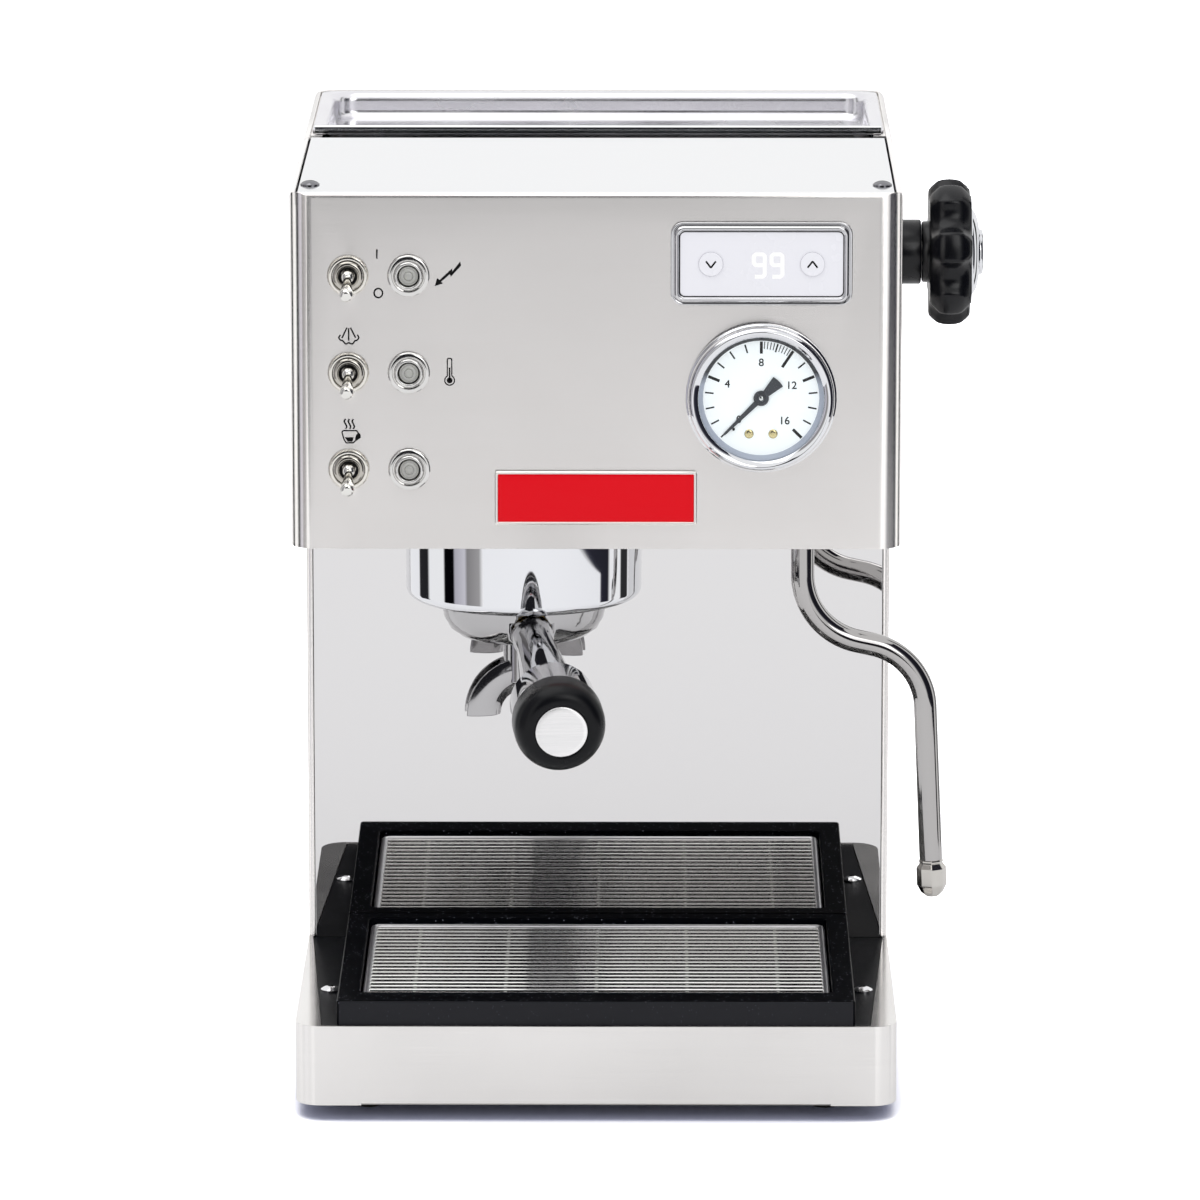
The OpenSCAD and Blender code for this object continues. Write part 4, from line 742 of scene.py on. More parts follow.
spout = make_piece("spout_double", merged(spout_shape, stub), bowl_chrome, "spout", ("spout",))
break_edges(spout, 0.3 * mm)


# ---- Handle ----
# A chromed neck that flares from the bowl, a chromed ferrule, and a short
# black grip with a brushed steel disc set in its end.

handle_slope = math.radians(7)
handle_axis = (handle_heading * math.cos(handle_slope) - Vector((0, 0, math.sin(handle_slope)))).normalized()
# from the group's axis to the middle of the disc
handle_len = 141.6
handle_place = Matrix.Translation(disc_middle - handle_axis * handle_len * mm)
handle_place = handle_place @ handle_axis.to_track_quat("Z", "Y").to_matrix().to_4x4()
neck_start, neck_len, ferrule_len = 36.0, 72.0, 19.0
neck_r0, neck_r1, ferrule_r = 7.0, 12.6, 16.2
ferrule_at = neck_start + neck_len
grip_at = ferrule_at + ferrule_len
neck_profile = [(0, neck_start - 6), (4, neck_start - 6), (4, neck_start - 0.01), (neck_r0, neck_start)]
neck_steps, flare = 24, 1.4
neck_profile += [(neck_r0 + (neck_r1 - neck_r0) * (i / neck_steps) ** flare,
                  neck_start + neck_len * i / neck_steps) for i in range(1, neck_steps + 1)]
neck_profile += arc(ferrule_r - 2.4, ferrule_at + 1.2, 1.2, 250, 290, 3)
neck_profile += arc(ferrule_r - 1.2, ferrule_at + 1.6, 1.2, 290, 360, 5)
neck_profile += [(ferrule_r, grip_at - 1.8), (ferrule_r - 0.5, grip_at - 1.4),
                 (ferrule_r - 0.5, grip_at - 0.9), (ferrule_r, grip_at - 0.5), (ferrule_r, grip_at),
                 (4, grip_at), (4, grip_at + 7.4), (0, grip_at + 7.4)]
# handled chrome, a shade darker than fresh plating
neck_chrome = bright_chrome("dark_chrome_neck", "#bcbcbe", 0.03)
make_piece("handle_neck_chromed", spun(neck_profile, handle_place), neck_chrome,
           "handle_neck", ("handle_neck",), crease=50)

grip_r, grip_len, disc_r = 17.2, 15.0, 9.85
grip_end = grip_at + grip_len
grip_profile = [(4.2, grip_at + 7.9), (4.2, grip_at + 0.02), (grip_r - 0.6, grip_at + 0.02)]
grip_profile += arc(grip_r - 0.6, grip_at + 0.62, 0.6, 300, 360, 3)
# the grip's end is a quarter of an oval, 6 mm across and 7.5 mm deep
end_across, end_deep = 6, 7.5
grip_profile += [(grip_r, grip_end - end_deep)]
grip_profile += [(grip_r - end_across + end_across * math.cos(math.radians(a)),
                  grip_end - end_deep + end_deep * math.sin(math.radians(a))) for a in range(8, 89, 8)]
grip_profile += [(disc_r + 0.35, grip_end), (disc_r + 0.1, grip_end - 0.25), (disc_r + 0.1, grip_end - 1.2)]
grip_profile += [(0, grip_end - 1.2), (0, grip_at + 7.9)]
grip_black = moulded_skin("moulded_phenolic_grip", "#07080c", 0.3, 0.5, 0.12, 0.2)
make_piece("handle_grip_moulded", spun(grip_profile, handle_place), grip_black,
           "handle_grip", ("handle_grip",), crease=50)

disc_profile = [(0, grip_end - 1.19), (disc_r, grip_end - 1.19), (disc_r, grip_end - 0.2)]
disc_profile += arc(disc_r - 0.5, grip_end - 0.15, 0.5, 0, 75, 4)
disc_profile += [(disc_r * k, grip_end + 0.39 - 0.04 * k) for k in (0.8, 0.5, 0.25)] + [(0, grip_end + 0.4)]
disc_grain = (40, 40, 2600)
disc_steel = brushed_stainless("brushed_disc", "#f9f8f8", "#e9e9e9", 0.26, disc_grain)
make_piece("handle_disc_turned", spun(disc_profile, handle_place), disc_steel,
           "handle_disc", ("handle_disc",))


# ---- Steam wand ----
# A polished steel tube with a ball at its upper end, bent twice, with a
# screwed steel nozzle that has flats for a spanner.

wand_low, wand_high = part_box("steam_wand")
ball_r = 8.0
wand_r = 4.5
wand_y = (wand_low.y + wand_high.y) / 2
ball_x, ball_z = wand_low.x + ball_r * mm, wand_high.z - ball_r * mm
straight_drop = 25.5
drop_z = panel_low.z - straight_drop * mm
upper_bend, upper_angle = 27.0, math.radians(78)
lower_bend, leg_slant = 26.0, math.radians(2.5)
between, leg = 6.0, 61.0
upper_cut = upper_bend * math.tan(upper_angle / 2)
lower_cut = lower_bend * math.tan((upper_angle - leg_slant) / 2)
middle_way = Vector((math.sin(upper_angle), 0, -math.cos(upper_angle)))
leg_way = Vector((math.sin(leg_slant), 0, -math.cos(leg_slant)))
knee = Vector((ball_x, wand_y, drop_z - upper_cut * mm))
elbow = knee + middle_way * (upper_cut + between + lower_cut) * mm
foot = elbow + leg_way * (lower_cut + leg) * mm


def ball(place, radius, around, along):
    """A ball with its middle at a place."""
    shape = bmesh.new()
    bmesh.ops.create_uvsphere(shape, u_segments=around, v_segments=along, radius=radius * mm)
    shape.transform(place)
    return shape


# the tube is polished by a belt, so it mirrors a little darker than chrome
wand_steel = bright_chrome("polished_wand_steel", "#b4b2b1", 0.05)
wand_tube = tube_along([(ball_x, wand_y, ball_z), knee, elbow, foot],
                       [0, upper_bend * mm, lower_bend * mm, 0], wand_r * mm, 40, wand_steel)
wand_ball = ball(Matrix.Translation((ball_x, wand_y, ball_z)), ball_r, 48, 24)
make_piece("steam_wand_bent", merged(wand_tube, wand_ball), wand_steel,
           "steam_wand", ("steam_wand",))

nozzle_len, nozzle_r = 14.8, 5.9
nozzle_place = Matrix.Translation(foot) @ leg_way.to_track_quat("Z", "Y").to_matrix().to_4x4()
nozzle_profile = [(1.5, 0.0), (wand_r - 0.1, 0.0), (wand_r + 0.3, 0.5), (wand_r + 0.3, 1.1), (wand_r, 1.5),
                  (nozzle_r, 3.4), (nozzle_r, 10.2), (nozzle_r - 1.5, 13.2), (nozzle_r - 3.3, nozzle_len),
                  (1.5, nozzle_len)]
nozzle_steel = bright_chrome("machined_nozzle_steel", "#c9c6c1", 0.1)
nozzle = make_piece("steam_nozzle_flats", spun(nozzle_profile, nozzle_place, 8), nozzle_steel,
                    "steam_nozzle", ("steam_nozzle",), crease=10)
break_edges(nozzle, 0.3 * mm, 20)
ptfe = moulded_skin("turned_ptfe", "#e4e4e0", 0.5, 0.8, 0.1)
finish_node("wand_seat", ptfe)


# ---- Steam knob with its cap and collar ----
# Moulded satin black with seven finger scallops and a short hub behind, a
# polished cap set into its outer face, and a stepped collar on the casing.

collar_low, collar_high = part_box("knob_collar")
knob_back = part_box("steam_knob")[0].x
side_place = Matrix.Translation((collar_low.x, (collar_low.y + collar_high.y) / 2,
                                 (collar_low.z + collar_high.z) / 2))
side_place = side_place @ Matrix.Rotation(math.radians(90), 4, "Y")
knob_place = side_place @ Matrix.Translation((0, 0, knob_back - collar_low.x))
knob_r, scallop_r, scallop_at, lobes = 28.0, 7.0, 30.4, 7
blend_width, blend_depth = 2.4, 0.6
cap_r = 16.5


def knob_radius(turn, inset):
    """The knob's outline, inset by a distance: a circle with scallops, blended at the lobes."""
    part = turn * lobes / math.tau % 1.0 - 0.5
    off = part * math.tau / lobes
    outer = knob_r - inset
    across = scallop_at * math.sin(off)
    reach = scallop_r + inset
    if abs(across) >= reach:
        return outer
    inner = scallop_at * math.cos(off) - math.sqrt(reach ** 2 - across ** 2)
    blend = max(blend_width - abs(outer - inner), 0.0) / blend_width
    return min(outer, inner) - blend * blend * blend_depth


# [inset from the outline, height]
knob_levels = [(4.4, 0.0), (3.7, 0.15), (2.5, 1.3), (1.2, 2.9), (0.7, 3.8), (0.25, 5.6), (0.05, 8.0),
               (0.25, 10.4), (0.7, 12.2), (1.2, 13.1), (2.5, 14.7), (3.7, 15.85), (4.4, 16.0)]
# [inset from the outline or None, radius of a round ring, height]
knob_rings = [(None, 4.05, 14.6), (None, 4.05, -2.6), (None, 11.3, -2.6), (None, 11.7, -2.2),
              (None, 11.8, 0.0)]
knob_rings += [(inset, 0.0, height) for inset, height in knob_levels]
knob_rings += [(None, cap_r + 0.5, 16.0), (None, cap_r + 0.1, 15.7), (None, cap_r + 0.1, 14.6)]
knob_points = 28 * lobes
shape = bmesh.new()
rows = []
for inset, radius, height in knob_rings:
    row = []
    for i in range(knob_points):
        turn = math.tau * i / knob_points
        reach = radius if inset is None else knob_radius(turn, inset)
        row.append(shape.verts.new((reach * math.cos(turn) * mm, reach * math.sin(turn) * mm, height * mm)))
    rows.append(row)
skin(shape, rows + rows[:1])
bmesh.ops.recalc_face_normals(shape, faces=shape.faces)
shape.transform(knob_place)
knob_black = moulded_skin("satin_phenolic_knob", "#08090e", 0.26, 0.5, 0.05, 0.3)
make_piece("steam_knob_moulded", shape, knob_black, "steam_knob", ("steam_knob",), crease=50)

cap_profile = [(0, 14.62), (cap_r, 14.62), (cap_r, 16.4), (cap_r - 0.3, 16.9)]
cap_profile += [(cap_r - 1.6, 17.9), (cap_r - 2.6, 18.3), (12.0, 18.8), (9.0, 19.35), (8.7, 19.5)]
cap_profile += [(8.6, 20.2), (8.3, 20.6), (7.4, 20.85), (0, 20.95)]
make_piece("knob_cap_turned", spun(cap_profile, knob_place), chrome,
           "knob_cap", ("knob_cap",), crease=50)

collar_profile = [(4.4, 0.05), (13, 0.05), (13, 1.5), (12.8, 1.8), (12.4, 1.9), (12.4, 8.4), (12.2, 8.8)]
collar_profile += [(11.8, 9.0), (4.4, 9.0)]
make_piece("knob_collar_moulded", spun(collar_profile, side_place), knob_black,
           "knob_collar", ("knob_collar",), crease=50)


# ---- Toggle switches ----
# Nickel-plated: a finely knurled ring nut on a threaded bush, and a bat lever
# that turns on a ball in the bush's mouth. Behind them are moulded housings.

def facing(x, z):
    """A place on the front panel, with local z pointing outwards and y upwards."""
    return Matrix.Translation((x, front_y, z)) @ Matrix.Rotation(math.radians(90), 4, "X")


bezels_low, bezels_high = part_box("lamp_bezels")
nuts_low, nuts_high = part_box("switch_nuts")
lamp_r = 7.95
switch_x = (nuts_low.x + nuts_high.x) / 2
lamps_x = (bezels_low.x + bezels_high.x) / 2
top_row, low_row = bezels_high.z - lamp_r * mm, bezels_low.z + lamp_r * mm
row_heights = {"lever_power": top_row, "lever_steam": (top_row + low_row) / 2, "lever_brew": low_row}
nickel = bright_chrome("nickel_plate", "#e4e1da", 0.1)
lever_chrome = bright_chrome("chrome_lever", "#e4e3df", 0.05)

teeth, tooth_gap, tooth_deep = 84, 0.4, 0.045
knurled_from = 7.1 * mm
lever_lean = 17
nut_profile = [(5.8, 0.02), (7.5, 0.02), (7.78, 0.25), (7.8, 0.9), (7.55, 1.2), (7.05, 1.42), (6.4, 1.5),
               (6.1, 1.45), (5.95, 1.3), (5.8, 0.95)]
bush_profile = [(2.56, -1.0), (5.55, -1.0), (5.62, 0.9), (5.55, 1.7), (5.2, 2.1), (4.6, 2.3), (4.1, 2.32),
                (3.7, 2.2), (3.48, 1.9), (3.4, 1.3), (2.56, 0.2)]
bat = [(0, 1.6), (1.35, 1.6), (1.5, 2.4), (1.62, 4.0), (1.85, 7.0), (2.15, 10.0), (2.45, 12.6), (2.6, 14.0),
       (2.62, 14.9), (2.5, 15.8), (2.15, 16.5), (1.5, 16.88), (0, 17.0)]
nuts = []
bushes = []
for node, z in row_heights.items():
    place = facing(switch_x, z)
    ring = spun(nut_profile, Matrix(), teeth * 4)
    for vert in ring.verts:
        radius = vert.co.xy.length
        part = (math.atan2(vert.co.y, vert.co.x) * teeth / math.tau) % 1.0
        if radius > knurled_from and part < tooth_gap:
            vert.co.x *= 1.0 - tooth_deep
            vert.co.y *= 1.0 - tooth_deep
    ring.transform(place)
    nuts.append(ring)
    bushes.append(spun(bush_profile, place))
    housing_place = place @ Matrix.Translation((0, 0, -14.2 * mm))
    bushes.append(block(housing_place, 13.2 * mm, 28 * mm, 25.6 * mm))
    lever_place = place @ Matrix.Translation((0, 0, 3 * mm))
    lever_place = lever_place @ Matrix.Rotation(math.radians(lever_lean), 4, "X")
    lever = merged(ball(lever_place, 2.5, 32, 20), spun(bat, lever_place, 32))
    make_piece(node + "_bat", lever, lever_chrome, node, (node,), crease=50)

# painted shade: a thin black ring round the ball in each mouth, for the shade inside the bush's opening
mouth_shade_profile = [(2.62, 0.7), (3.3, 1.3), (3.45, 1.85), (3.52, 1.95), (3.4, 1.2), (2.62, 0.5)]
mouth_shades = [spun(mouth_shade_profile, facing(switch_x, z), 48) for z in row_heights.values()]
make_piece("switch_mouth_shades", merged(*mouth_shades), black_rubber, "switch_bodies")
make_piece("switch_nuts_knurled", merged(*nuts), nickel, "switch_nuts", ("switch_nuts",))
# the bush is duller and greyer, so that the nut stands out round it
bush_nickel = bright_chrome("worn_nickel_bush", "#bdb9b1", 0.12)
make_piece("switch_bushes", merged(*bushes), bush_nickel, "switch_bodies", ("switch_bodies",))


# ---- Indicator lamps ----
# A chromed ring with a domed shoulder and a groove, round a grey frosted lens
# that is moulded with faint rings.

lamp_profile = [(4.05, -11.9), (5.95, -11.9), (5.95, 0.02), (lamp_r, 0.02), (lamp_r, 0.7)]
# the shoulder is a quarter of an oval
lamp_profile += [(6.35 + 1.6 * math.cos(math.radians(a)), 0.75 + 0.8 * math.sin(math.radians(a)))
                 for a in (12, 25, 38, 52, 66, 80, 90)]
lamp_profile += [(6.2, 1.3), (6.1, 0.95), (5.8, 0.85), (5.6, 0.95), (5.5, 1.2), (5.2, 1.62), (4.85, 1.85),
                 (4.5, 1.9), (4.25, 1.75), (4.08, 1.45), (4.05, 1.0)]
lens_profile = [(0, -5.9), (3.6, -5.9), (3.62, 1.1), (3.5, 1.45), (3.2, 1.62), (2.95, 1.4), (2.7, 1.75),
                (1.9, 1.9), (1.65, 1.6), (1.4, 2.0), (0.8, 2.13), (0, 2.17)]


def frosted_lens(name, colour):
    """A frosted plastic lens, unlit: milky, with a soft shine and a fine grain."""
    material, tree = new_finish(name)
    end_in_surface(tree, {
        "Base Color": linear(colour), "Roughness": 0.18, "Normal": relief(tree, noise(tree, 900.0, 2.0), 0.2),
        "Subsurface Weight": 0.3, "Subsurface Radius": (0.002, 0.002, 0.0015)})
    return material


lens_milk = frosted_lens("frosted_lens", "#a6a6a2")
rings = [spun(lamp_profile, facing(lamps_x, z)) for z in row_heights.values()]
lenses = [spun(lens_profile, facing(lamps_x, z)) for z in row_heights.values()]
# a little satin, so that the shoulder of the ring shows one soft highlight
ring_chrome = bright_chrome("satin_chrome_ring", "#d9d8d6", 0.1)
make_piece("lamp_rings", merged(*rings), ring_chrome,
           "lamp_bezels", ("lamp_bezels",), crease=45)
make_piece("lamp_lenses_milky", merged(*lenses), lens_milk,
           "lamp_lenses", ("lamp_lenses",), crease=60)


# ---- Display ----
# A chromed frame with two ridges and a black gasket round a white panel, with
# two round buttons in moulded guides and a two-figure readout that glows.

def facing_middle(low, high):
    """A place on the front panel, at the middle of a box."""
    return facing((low.x + high.x) / 2, (low.z + high.z) / 2)


frame_low, frame_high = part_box("display_bezel")
display_place = facing_middle(frame_low, frame_high)
display_half = (frame_high.x - frame_low.x) / 2
display_rise = (frame_high.z - frame_low.z) / 2


def display_ring(name, levels, material, replaces=(), crease=35):
    """A ring of the display's frame, its section as [inset, height] in millimetres."""
    shape = ring_stack([(display_half - i * mm, -display_rise + i * mm, display_rise - i * mm,
                         (4.6 - i * 0.75) * mm, h * mm) for i, h in levels], 8, capped=False)
    shape.transform(display_place)
    make_piece(name, shape, material, "display_bezel", replaces, crease)


ridges = [(0, 0.02), (0, 0.75), (0.12, 1.0), (0.4, 1.12), (0.75, 1.05), (0.95, 0.85), (1.1, 0.85),
          (1.25, 1.3), (1.5, 1.8), (1.85, 2.2), (2.15, 2.35), (2.5, 2.3), (2.75, 2.0), (2.9, 1.65),
          (3.05, 1.55), (3.2, 1.5), (3.3, 1.2), (3.3, 0.02), (0, 0.02)]
# a greyer chrome, in which the two ridges read as dark and light lines
frame_chrome = bright_chrome("display_frame_chrome", "#d2d2d4", 0.02)
display_ring("display_frame", ridges, frame_chrome, ("display_bezel",), 60)


def smooth_plastic(name, colour, roughness, shine=0.5, glow=0.0):
    """Smooth moulded or lacquered plastic with a faint unevenness in its gloss; a glow, where given, is
    painted light.
    """
    material, tree = new_finish(name)
    gloss = spread(tree, noise(tree, 80.0, 3.0), 0.3, 0.7, roughness - 0.03, roughness + 0.04)
    end_in_surface(tree, {
        "Base Color": linear(colour), "Roughness": gloss, "Specular IOR Level": shine,
        "Emission Color": linear(colour), "Emission Strength": glow})
    return material


panel_white = smooth_plastic("display_panel_white", "#e3e3e8", 0.25)
softened("display_face", "display_panel", panel_white, 0.15 * mm)
for node in ("button_down", "button_up"):
    softened(node + "_cap", node, panel_white, 0.35 * mm)

gasket = [(3.2, 1.2), (3.2, 1.5), (3.55, 1.5), (3.55, 1.2), (3.2, 1.2)]
display_ring("display_gasket", gasket, black_rubber)

sign_ink = smooth_plastic("black_printing_ink", "#050507", 0.6, 0.15)
ink_thick = 0.06


def printed(strokes, width, place, height, closed=False):
    """Flat printed lines: each stroke is a run of points in millimetres, with round corners."""
    flatten = Matrix.Translation((0, 0, height * mm)) @ Matrix.Diagonal((1, 1, ink_thick / width, 1))
    shapes = []
    for points in strokes:
        line = tube_along([(x * mm, y * mm, 0) for x, y in points], [0.25 * mm] * len(points),
                          width / 2 * mm, 8, sign_ink, closed)
        line.transform(place @ flatten)
        shapes.append(line)
    return merged(*shapes)


face_height = (front_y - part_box("display_panel")[0].y) / mm
# the buttons' faces, on which their chevrons are printed
cap_height = 2.19
for node, way in (("button_down", -1), ("button_up", 1)):
    low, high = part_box(node)
    cap_place = facing_middle(low, high)
    button_r = (high.x - low.x) / 2 / mm
    guide = [(button_r + 0.04, face_height - 0.9), (button_r + 0.5, face_height - 0.9),
             (button_r + 0.5, face_height - 0.03), (button_r + 0.04, face_height - 0.03)]
    make_piece(node + "_guide", spun(guide, cap_place, 64), panel_white, "display_panel")
    strokes = [[(-1.85, -1.2 * way), (0, 1.25 * way), (1.85, -1.2 * way)]]
    chevron = printed(strokes, 0.8, cap_place, cap_height)
    make_piece(node + "_chevron", chevron, sign_ink, node)

# each figure of the readout is one lit tube laid flat in the panel
glow, tree = new_finish("white_display_glow")
light = add_node(tree, "ShaderNodeEmission", {"Color": linear("#ffffff"), "Strength": 1.0})
add_node(tree, "ShaderNodeOutputMaterial", {"Surface": light.outputs[0]})
nine = [(-1.7, -4.25), (1.3, -4.25), (2.05, -3.5), (2.05, 3.5), (1.3, 4.25), (-1.3, 4.25), (-2.05, 3.5),
        (-2.05, 0.9), (-1.3, 0.15), (1.9, 0.15)]
figure_height, figure_line, figure_flat = 1.4, 0.78, 0.04
flatten = Matrix.Translation((0, 0, figure_height * mm)) @ Matrix.Diagonal((1, 1, figure_flat, 1))
figures = []
for x, y in ((-0.9, -0.5), (5.7, -0.5)):
    line = tube_along([((x + px) * mm, (y + py) * mm, 0) for px, py in nine], [0.5 * mm] * len(nine),
                      figure_line * mm, 12, glow)
    line.transform(display_place @ flatten)
    figures.append(line)
make_piece("display_figures", merged(*figures), glow, "display_panel")


# ---- Pressure gauge ----
# A chromed case with a stepped shoulder and a wide bevel inside, a flat glass,
# a white dial printed with its scale, and a black needle with a fan tail.

case_low, case_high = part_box("gauge_case")
gauge_place = facing_middle(case_low, case_high)
gauge_r, window_r = 28.35, 23.6
case_profile = [(8.0, -23.9), (window_r + 2.6, -23.9), (window_r + 2.6, 0.02), (gauge_r, 0.02),
                (gauge_r, 2.2), (gauge_r - 0.2, 2.5), (gauge_r - 0.6, 2.6), (gauge_r - 0.7, 2.8),
                (gauge_r - 0.65, 3.7), (gauge_r - 0.8, 4.6), (gauge_r - 1.15, 5.5), (gauge_r - 1.7, 6.2),
                (gauge_r - 2.3, 6.6), (window_r + 2.2, 6.75), (window_r + 1.9, 6.7), (window_r + 0.15, 5.3),
                (window_r, 5.15), (window_r, 4.75), (window_r + 1.3, 4.75), (window_r + 1.3, 0.8), (8.0, 0.7)]
make_piece("gauge_case_turned", spun(case_profile, gauge_place, 160), chrome,
           "gauge_case", ("gauge_case",), crease=50)

# the dial glows a little, painted light that keeps it bright behind the glass
glowing_dial_face = smooth_plastic("dial_enamel_white_painted_glow", "#f8f8f6", 0.35, 0.5, 0.2)
dial_profile = [(0, 0.85), (window_r + 1.1, 0.85), (window_r + 1.1, 1.6), (0, 1.6)]
make_piece("gauge_dial_plate", spun(dial_profile, gauge_place), glowing_dial_face,
           "gauge_dial", ("gauge_dial",))
# the case's lip shades the upper half of this ring, which looks black there and grey below
inner_ring = smooth_plastic("gauge_inner_ring", "#c2c4c9", 0.3)
tree = inner_ring.node_tree
place = add_node(tree, "ShaderNodeTexCoord")
parts = add_node(tree, "ShaderNodeSeparateXYZ", {0: place.outputs["Object"]})
gauge_z = gauge_place.translation.z
upper = spread(tree, parts.outputs["Z"], gauge_z + 5 * mm, gauge_z + 10 * mm, 0.0, 1.0)
shades = two_tones(tree, upper, linear("#aeb2bf"), linear("#1c1c22"))
for socket in ("Base Color", "Emission Color"):
    tree.links.new(shades, tree.nodes["Principled BSDF"].inputs[socket])
ring_profile = [(21.8, 1.62), (window_r + 1.1, 1.62), (window_r + 1.1, 3.25), (window_r - 0.1, 3.25)]
make_piece("gauge_inner_ring", spun(ring_profile, gauge_place), inner_ring, "gauge_dial")

# marks are copies of one printed bar, turned round the dial
ring_tree, start = new_tree("ring_of_copies", ("Count", "Int"), ("Start", "Float"), ("Step", "Float"),
                            ("Material", "Material"))
spots = add_node(ring_tree, "GeometryNodeMeshLine", {"Count": start.outputs["Count"], "Offset": (0, 0, 0)})
number = add_node(ring_tree, "GeometryNodeInputIndex")
turned = add_node(ring_tree, "ShaderNodeMath", {
    0: number.outputs[0], 1: start.outputs["Step"], 2: start.outputs["Start"]}, operation="MULTIPLY_ADD")
about_z = add_node(ring_tree, "ShaderNodeCombineXYZ", {"Z": turned.outputs[0]})
copies = add_node(ring_tree, "GeometryNodeInstanceOnPoints", {
    "Points": spots.outputs[0], "Instance": start.outputs["Geometry"], "Rotation": about_z.outputs[0]})
end_tree(ring_tree, copies.outputs[0], start.outputs["Material"])

scale_end, scale_sweep = 16, 270
ink_height = 1.63


def scale_turn(value):
    """The turn of a value on the scale, against the clock from the top."""
    return math.radians(scale_sweep / 2 - value * scale_sweep / scale_end)


def marks(first, count, step, inner, outer, width):
    """Printed bars for a run of values on the scale, between two radii in millimetres."""
    place = Matrix.Translation((0, (inner + outer) / 2 * mm, ink_height * mm))
    bar = block(place, width * mm, (outer - inner) * mm, 0.05 * mm)
    return grown(as_mesh(bar, "mark"), ring_tree, Count=count, Start=scale_turn(first),
                 Step=scale_turn(step) - scale_turn(0), Material=sign_ink)


# short marks at whole values, wide ones at the numbers, a long one at 10, and fine ones from 8 to 10
scale = [marks(0, 4, 1, 17.9, 21.2, 0.6), marks(5, 3, 1, 17.9, 21.2, 0.6), marks(11, 1, 1, 17.9, 21.2, 0.6),
         marks(13, 3, 1, 17.9, 21.2, 0.6), marks(4, 4, 4, 16.9, 21.5, 1.1), marks(10, 1, 1, 14.1, 21.5, 1.1),
         marks(8.2, 4, 0.2, 18.7, 21.5, 0.34), marks(9, 1, 1, 18.2, 21.5, 0.6),
         marks(9.2, 4, 0.2, 18.7, 21.5, 0.34)]
for text, radius in (("4", 13.7), ("8", 13.4), ("12", 12.3), ("16", 12.4), ("0", 11.8)):
    letter = bpy.data.curves.new("number", "FONT")
    letter.body = text
    letter.size = 4.1 * mm
    letter.bevel_depth = 0.05 * mm
    letter.align_x = "CENTER"
    letter.align_y = "CENTER"
    letter.extrude = 0.02 * mm
    writing = bpy.data.objects.new("number", letter)
    bpy.context.scene.collection.objects.link(writing)
    written = bpy.data.meshes.new_from_object(writing.evaluated_get(bpy.context.evaluated_depsgraph_get()))
    bpy.data.objects.remove(writing)
    a = scale_turn(int(text))
    written.transform(Matrix.Translation(
        (-math.sin(a) * radius * mm, math.cos(a) * radius * mm, (ink_height + 0.01) * mm)))
    scale.append(written)
scale = merged(*scale)
scale.transform(gauge_place)
make_piece("gauge_scale", scale, sign_ink, "gauge_dial")

# two brass screws hold the dial, and a pin stops the needle at zero
screw_brass = mill_steel("brass_screw", "#efdca4", 0.2)
screw_profile = [(0, 1.6), (1.75, 1.6), (1.75, 1.75), (1.5, 2.0), (0.9, 2.15), (0.5, 2.15), (0.45, 1.95),
                 (0, 1.95)]
screws = [spun(screw_profile, gauge_place @ Matrix.Translation((x * mm, -13.7 * mm, 0)), 32)
          for x in (-4.5, 4.5)]
make_piece("gauge_dial_screws", merged(*screws), screw_brass, "gauge_dial")
pin_profile = [(0, 1.6), (0.5, 1.6), (0.5, 2.9), (0, 2.9)]
pin_place = gauge_place @ Matrix.Translation((-10.3 * mm, -11.8 * mm, 0))
make_piece("gauge_stop_pin", spun(pin_profile, pin_place, 16), sign_ink, "gauge_dial")

needle_paint = smooth_plastic("needle_lacquer_black", "#2e3036", 0.35)
blade = [(-0.42, 19.5), (0, 20.0), (0.42, 19.5), (1.15, -1.0)]
tail_r = 9.3
blade += arc(0, 0, tail_r, -74, -106, 8)
blade += [(-1.15, -1.0)]
shape = bmesh.new()
under = [shape.verts.new((x * mm, y * mm, 2.1 * mm)) for x, y in blade]
above = [shape.verts.new((x * mm, y * mm, 2.45 * mm)) for x, y in blade]
shape.faces.new(above[::-1])
shape.faces.new(under)
skin(shape, [under, above])
bmesh.ops.recalc_face_normals(shape, faces=shape.faces)
hub = [(0, -6.9), (0.9, -6.9), (0.9, 1.9), (2.8, 1.9), (2.9, 2.0), (2.9, 2.6), (2.7, 2.8), (1.9, 2.85),
       (1.75, 2.65), (1.6, 2.65), (1.5, 2.88), (0, 2.9)]
needle_place = gauge_place @ Matrix.Rotation(scale_turn(0), 4, "Z")
shape.transform(needle_place)
make_piece("gauge_needle_blade", merged(shape, spun(hub, needle_place, 48)), needle_paint,
           "gauge_needle", ("gauge_needle",), crease=40)
hub_pin = [(0, 2.88), (0.8, 2.88), (0.7, 2.95), (0, 3.0)]
make_piece("gauge_needle_pin", spun(hub_pin, needle_place, 24), lever_chrome, "gauge_needle")

# clear glass that only adds its own reflection, so that the dial stays bright
glass, tree = new_finish("gauge_window_glass")
edge_on = add_node(tree, "ShaderNodeFresnel", {"IOR": 1.5})
face = add_node(tree, "ShaderNodeNewGeometry")
outward = add_node(tree, "ShaderNodeMath", {0: edge_on.outputs[0], 1: face.outputs["Backfacing"]},
                   operation="SUBTRACT", use_clamp=True)
clear = add_node(tree, "ShaderNodeBsdfTransparent", {"Color": linear("#fbfdfe")})
shine = add_node(tree, "ShaderNodeBsdfGlossy", {"Roughness": 0.02})
both = add_node(tree, "ShaderNodeMixShader", {
    0: outward.outputs[0], 1: clear.outputs[0], 2: shine.outputs[0]})
add_node(tree, "ShaderNodeOutputMaterial", {"Surface": both.outputs[0]})
glass_profile = [(0, 3.3), (window_r + 1.15, 3.3), (window_r + 1.15, 4.7), (0, 4.7)]
make_piece("gauge_window", spun(glass_profile, gauge_place), glass,
           "gauge_glass", ("gauge_glass",))


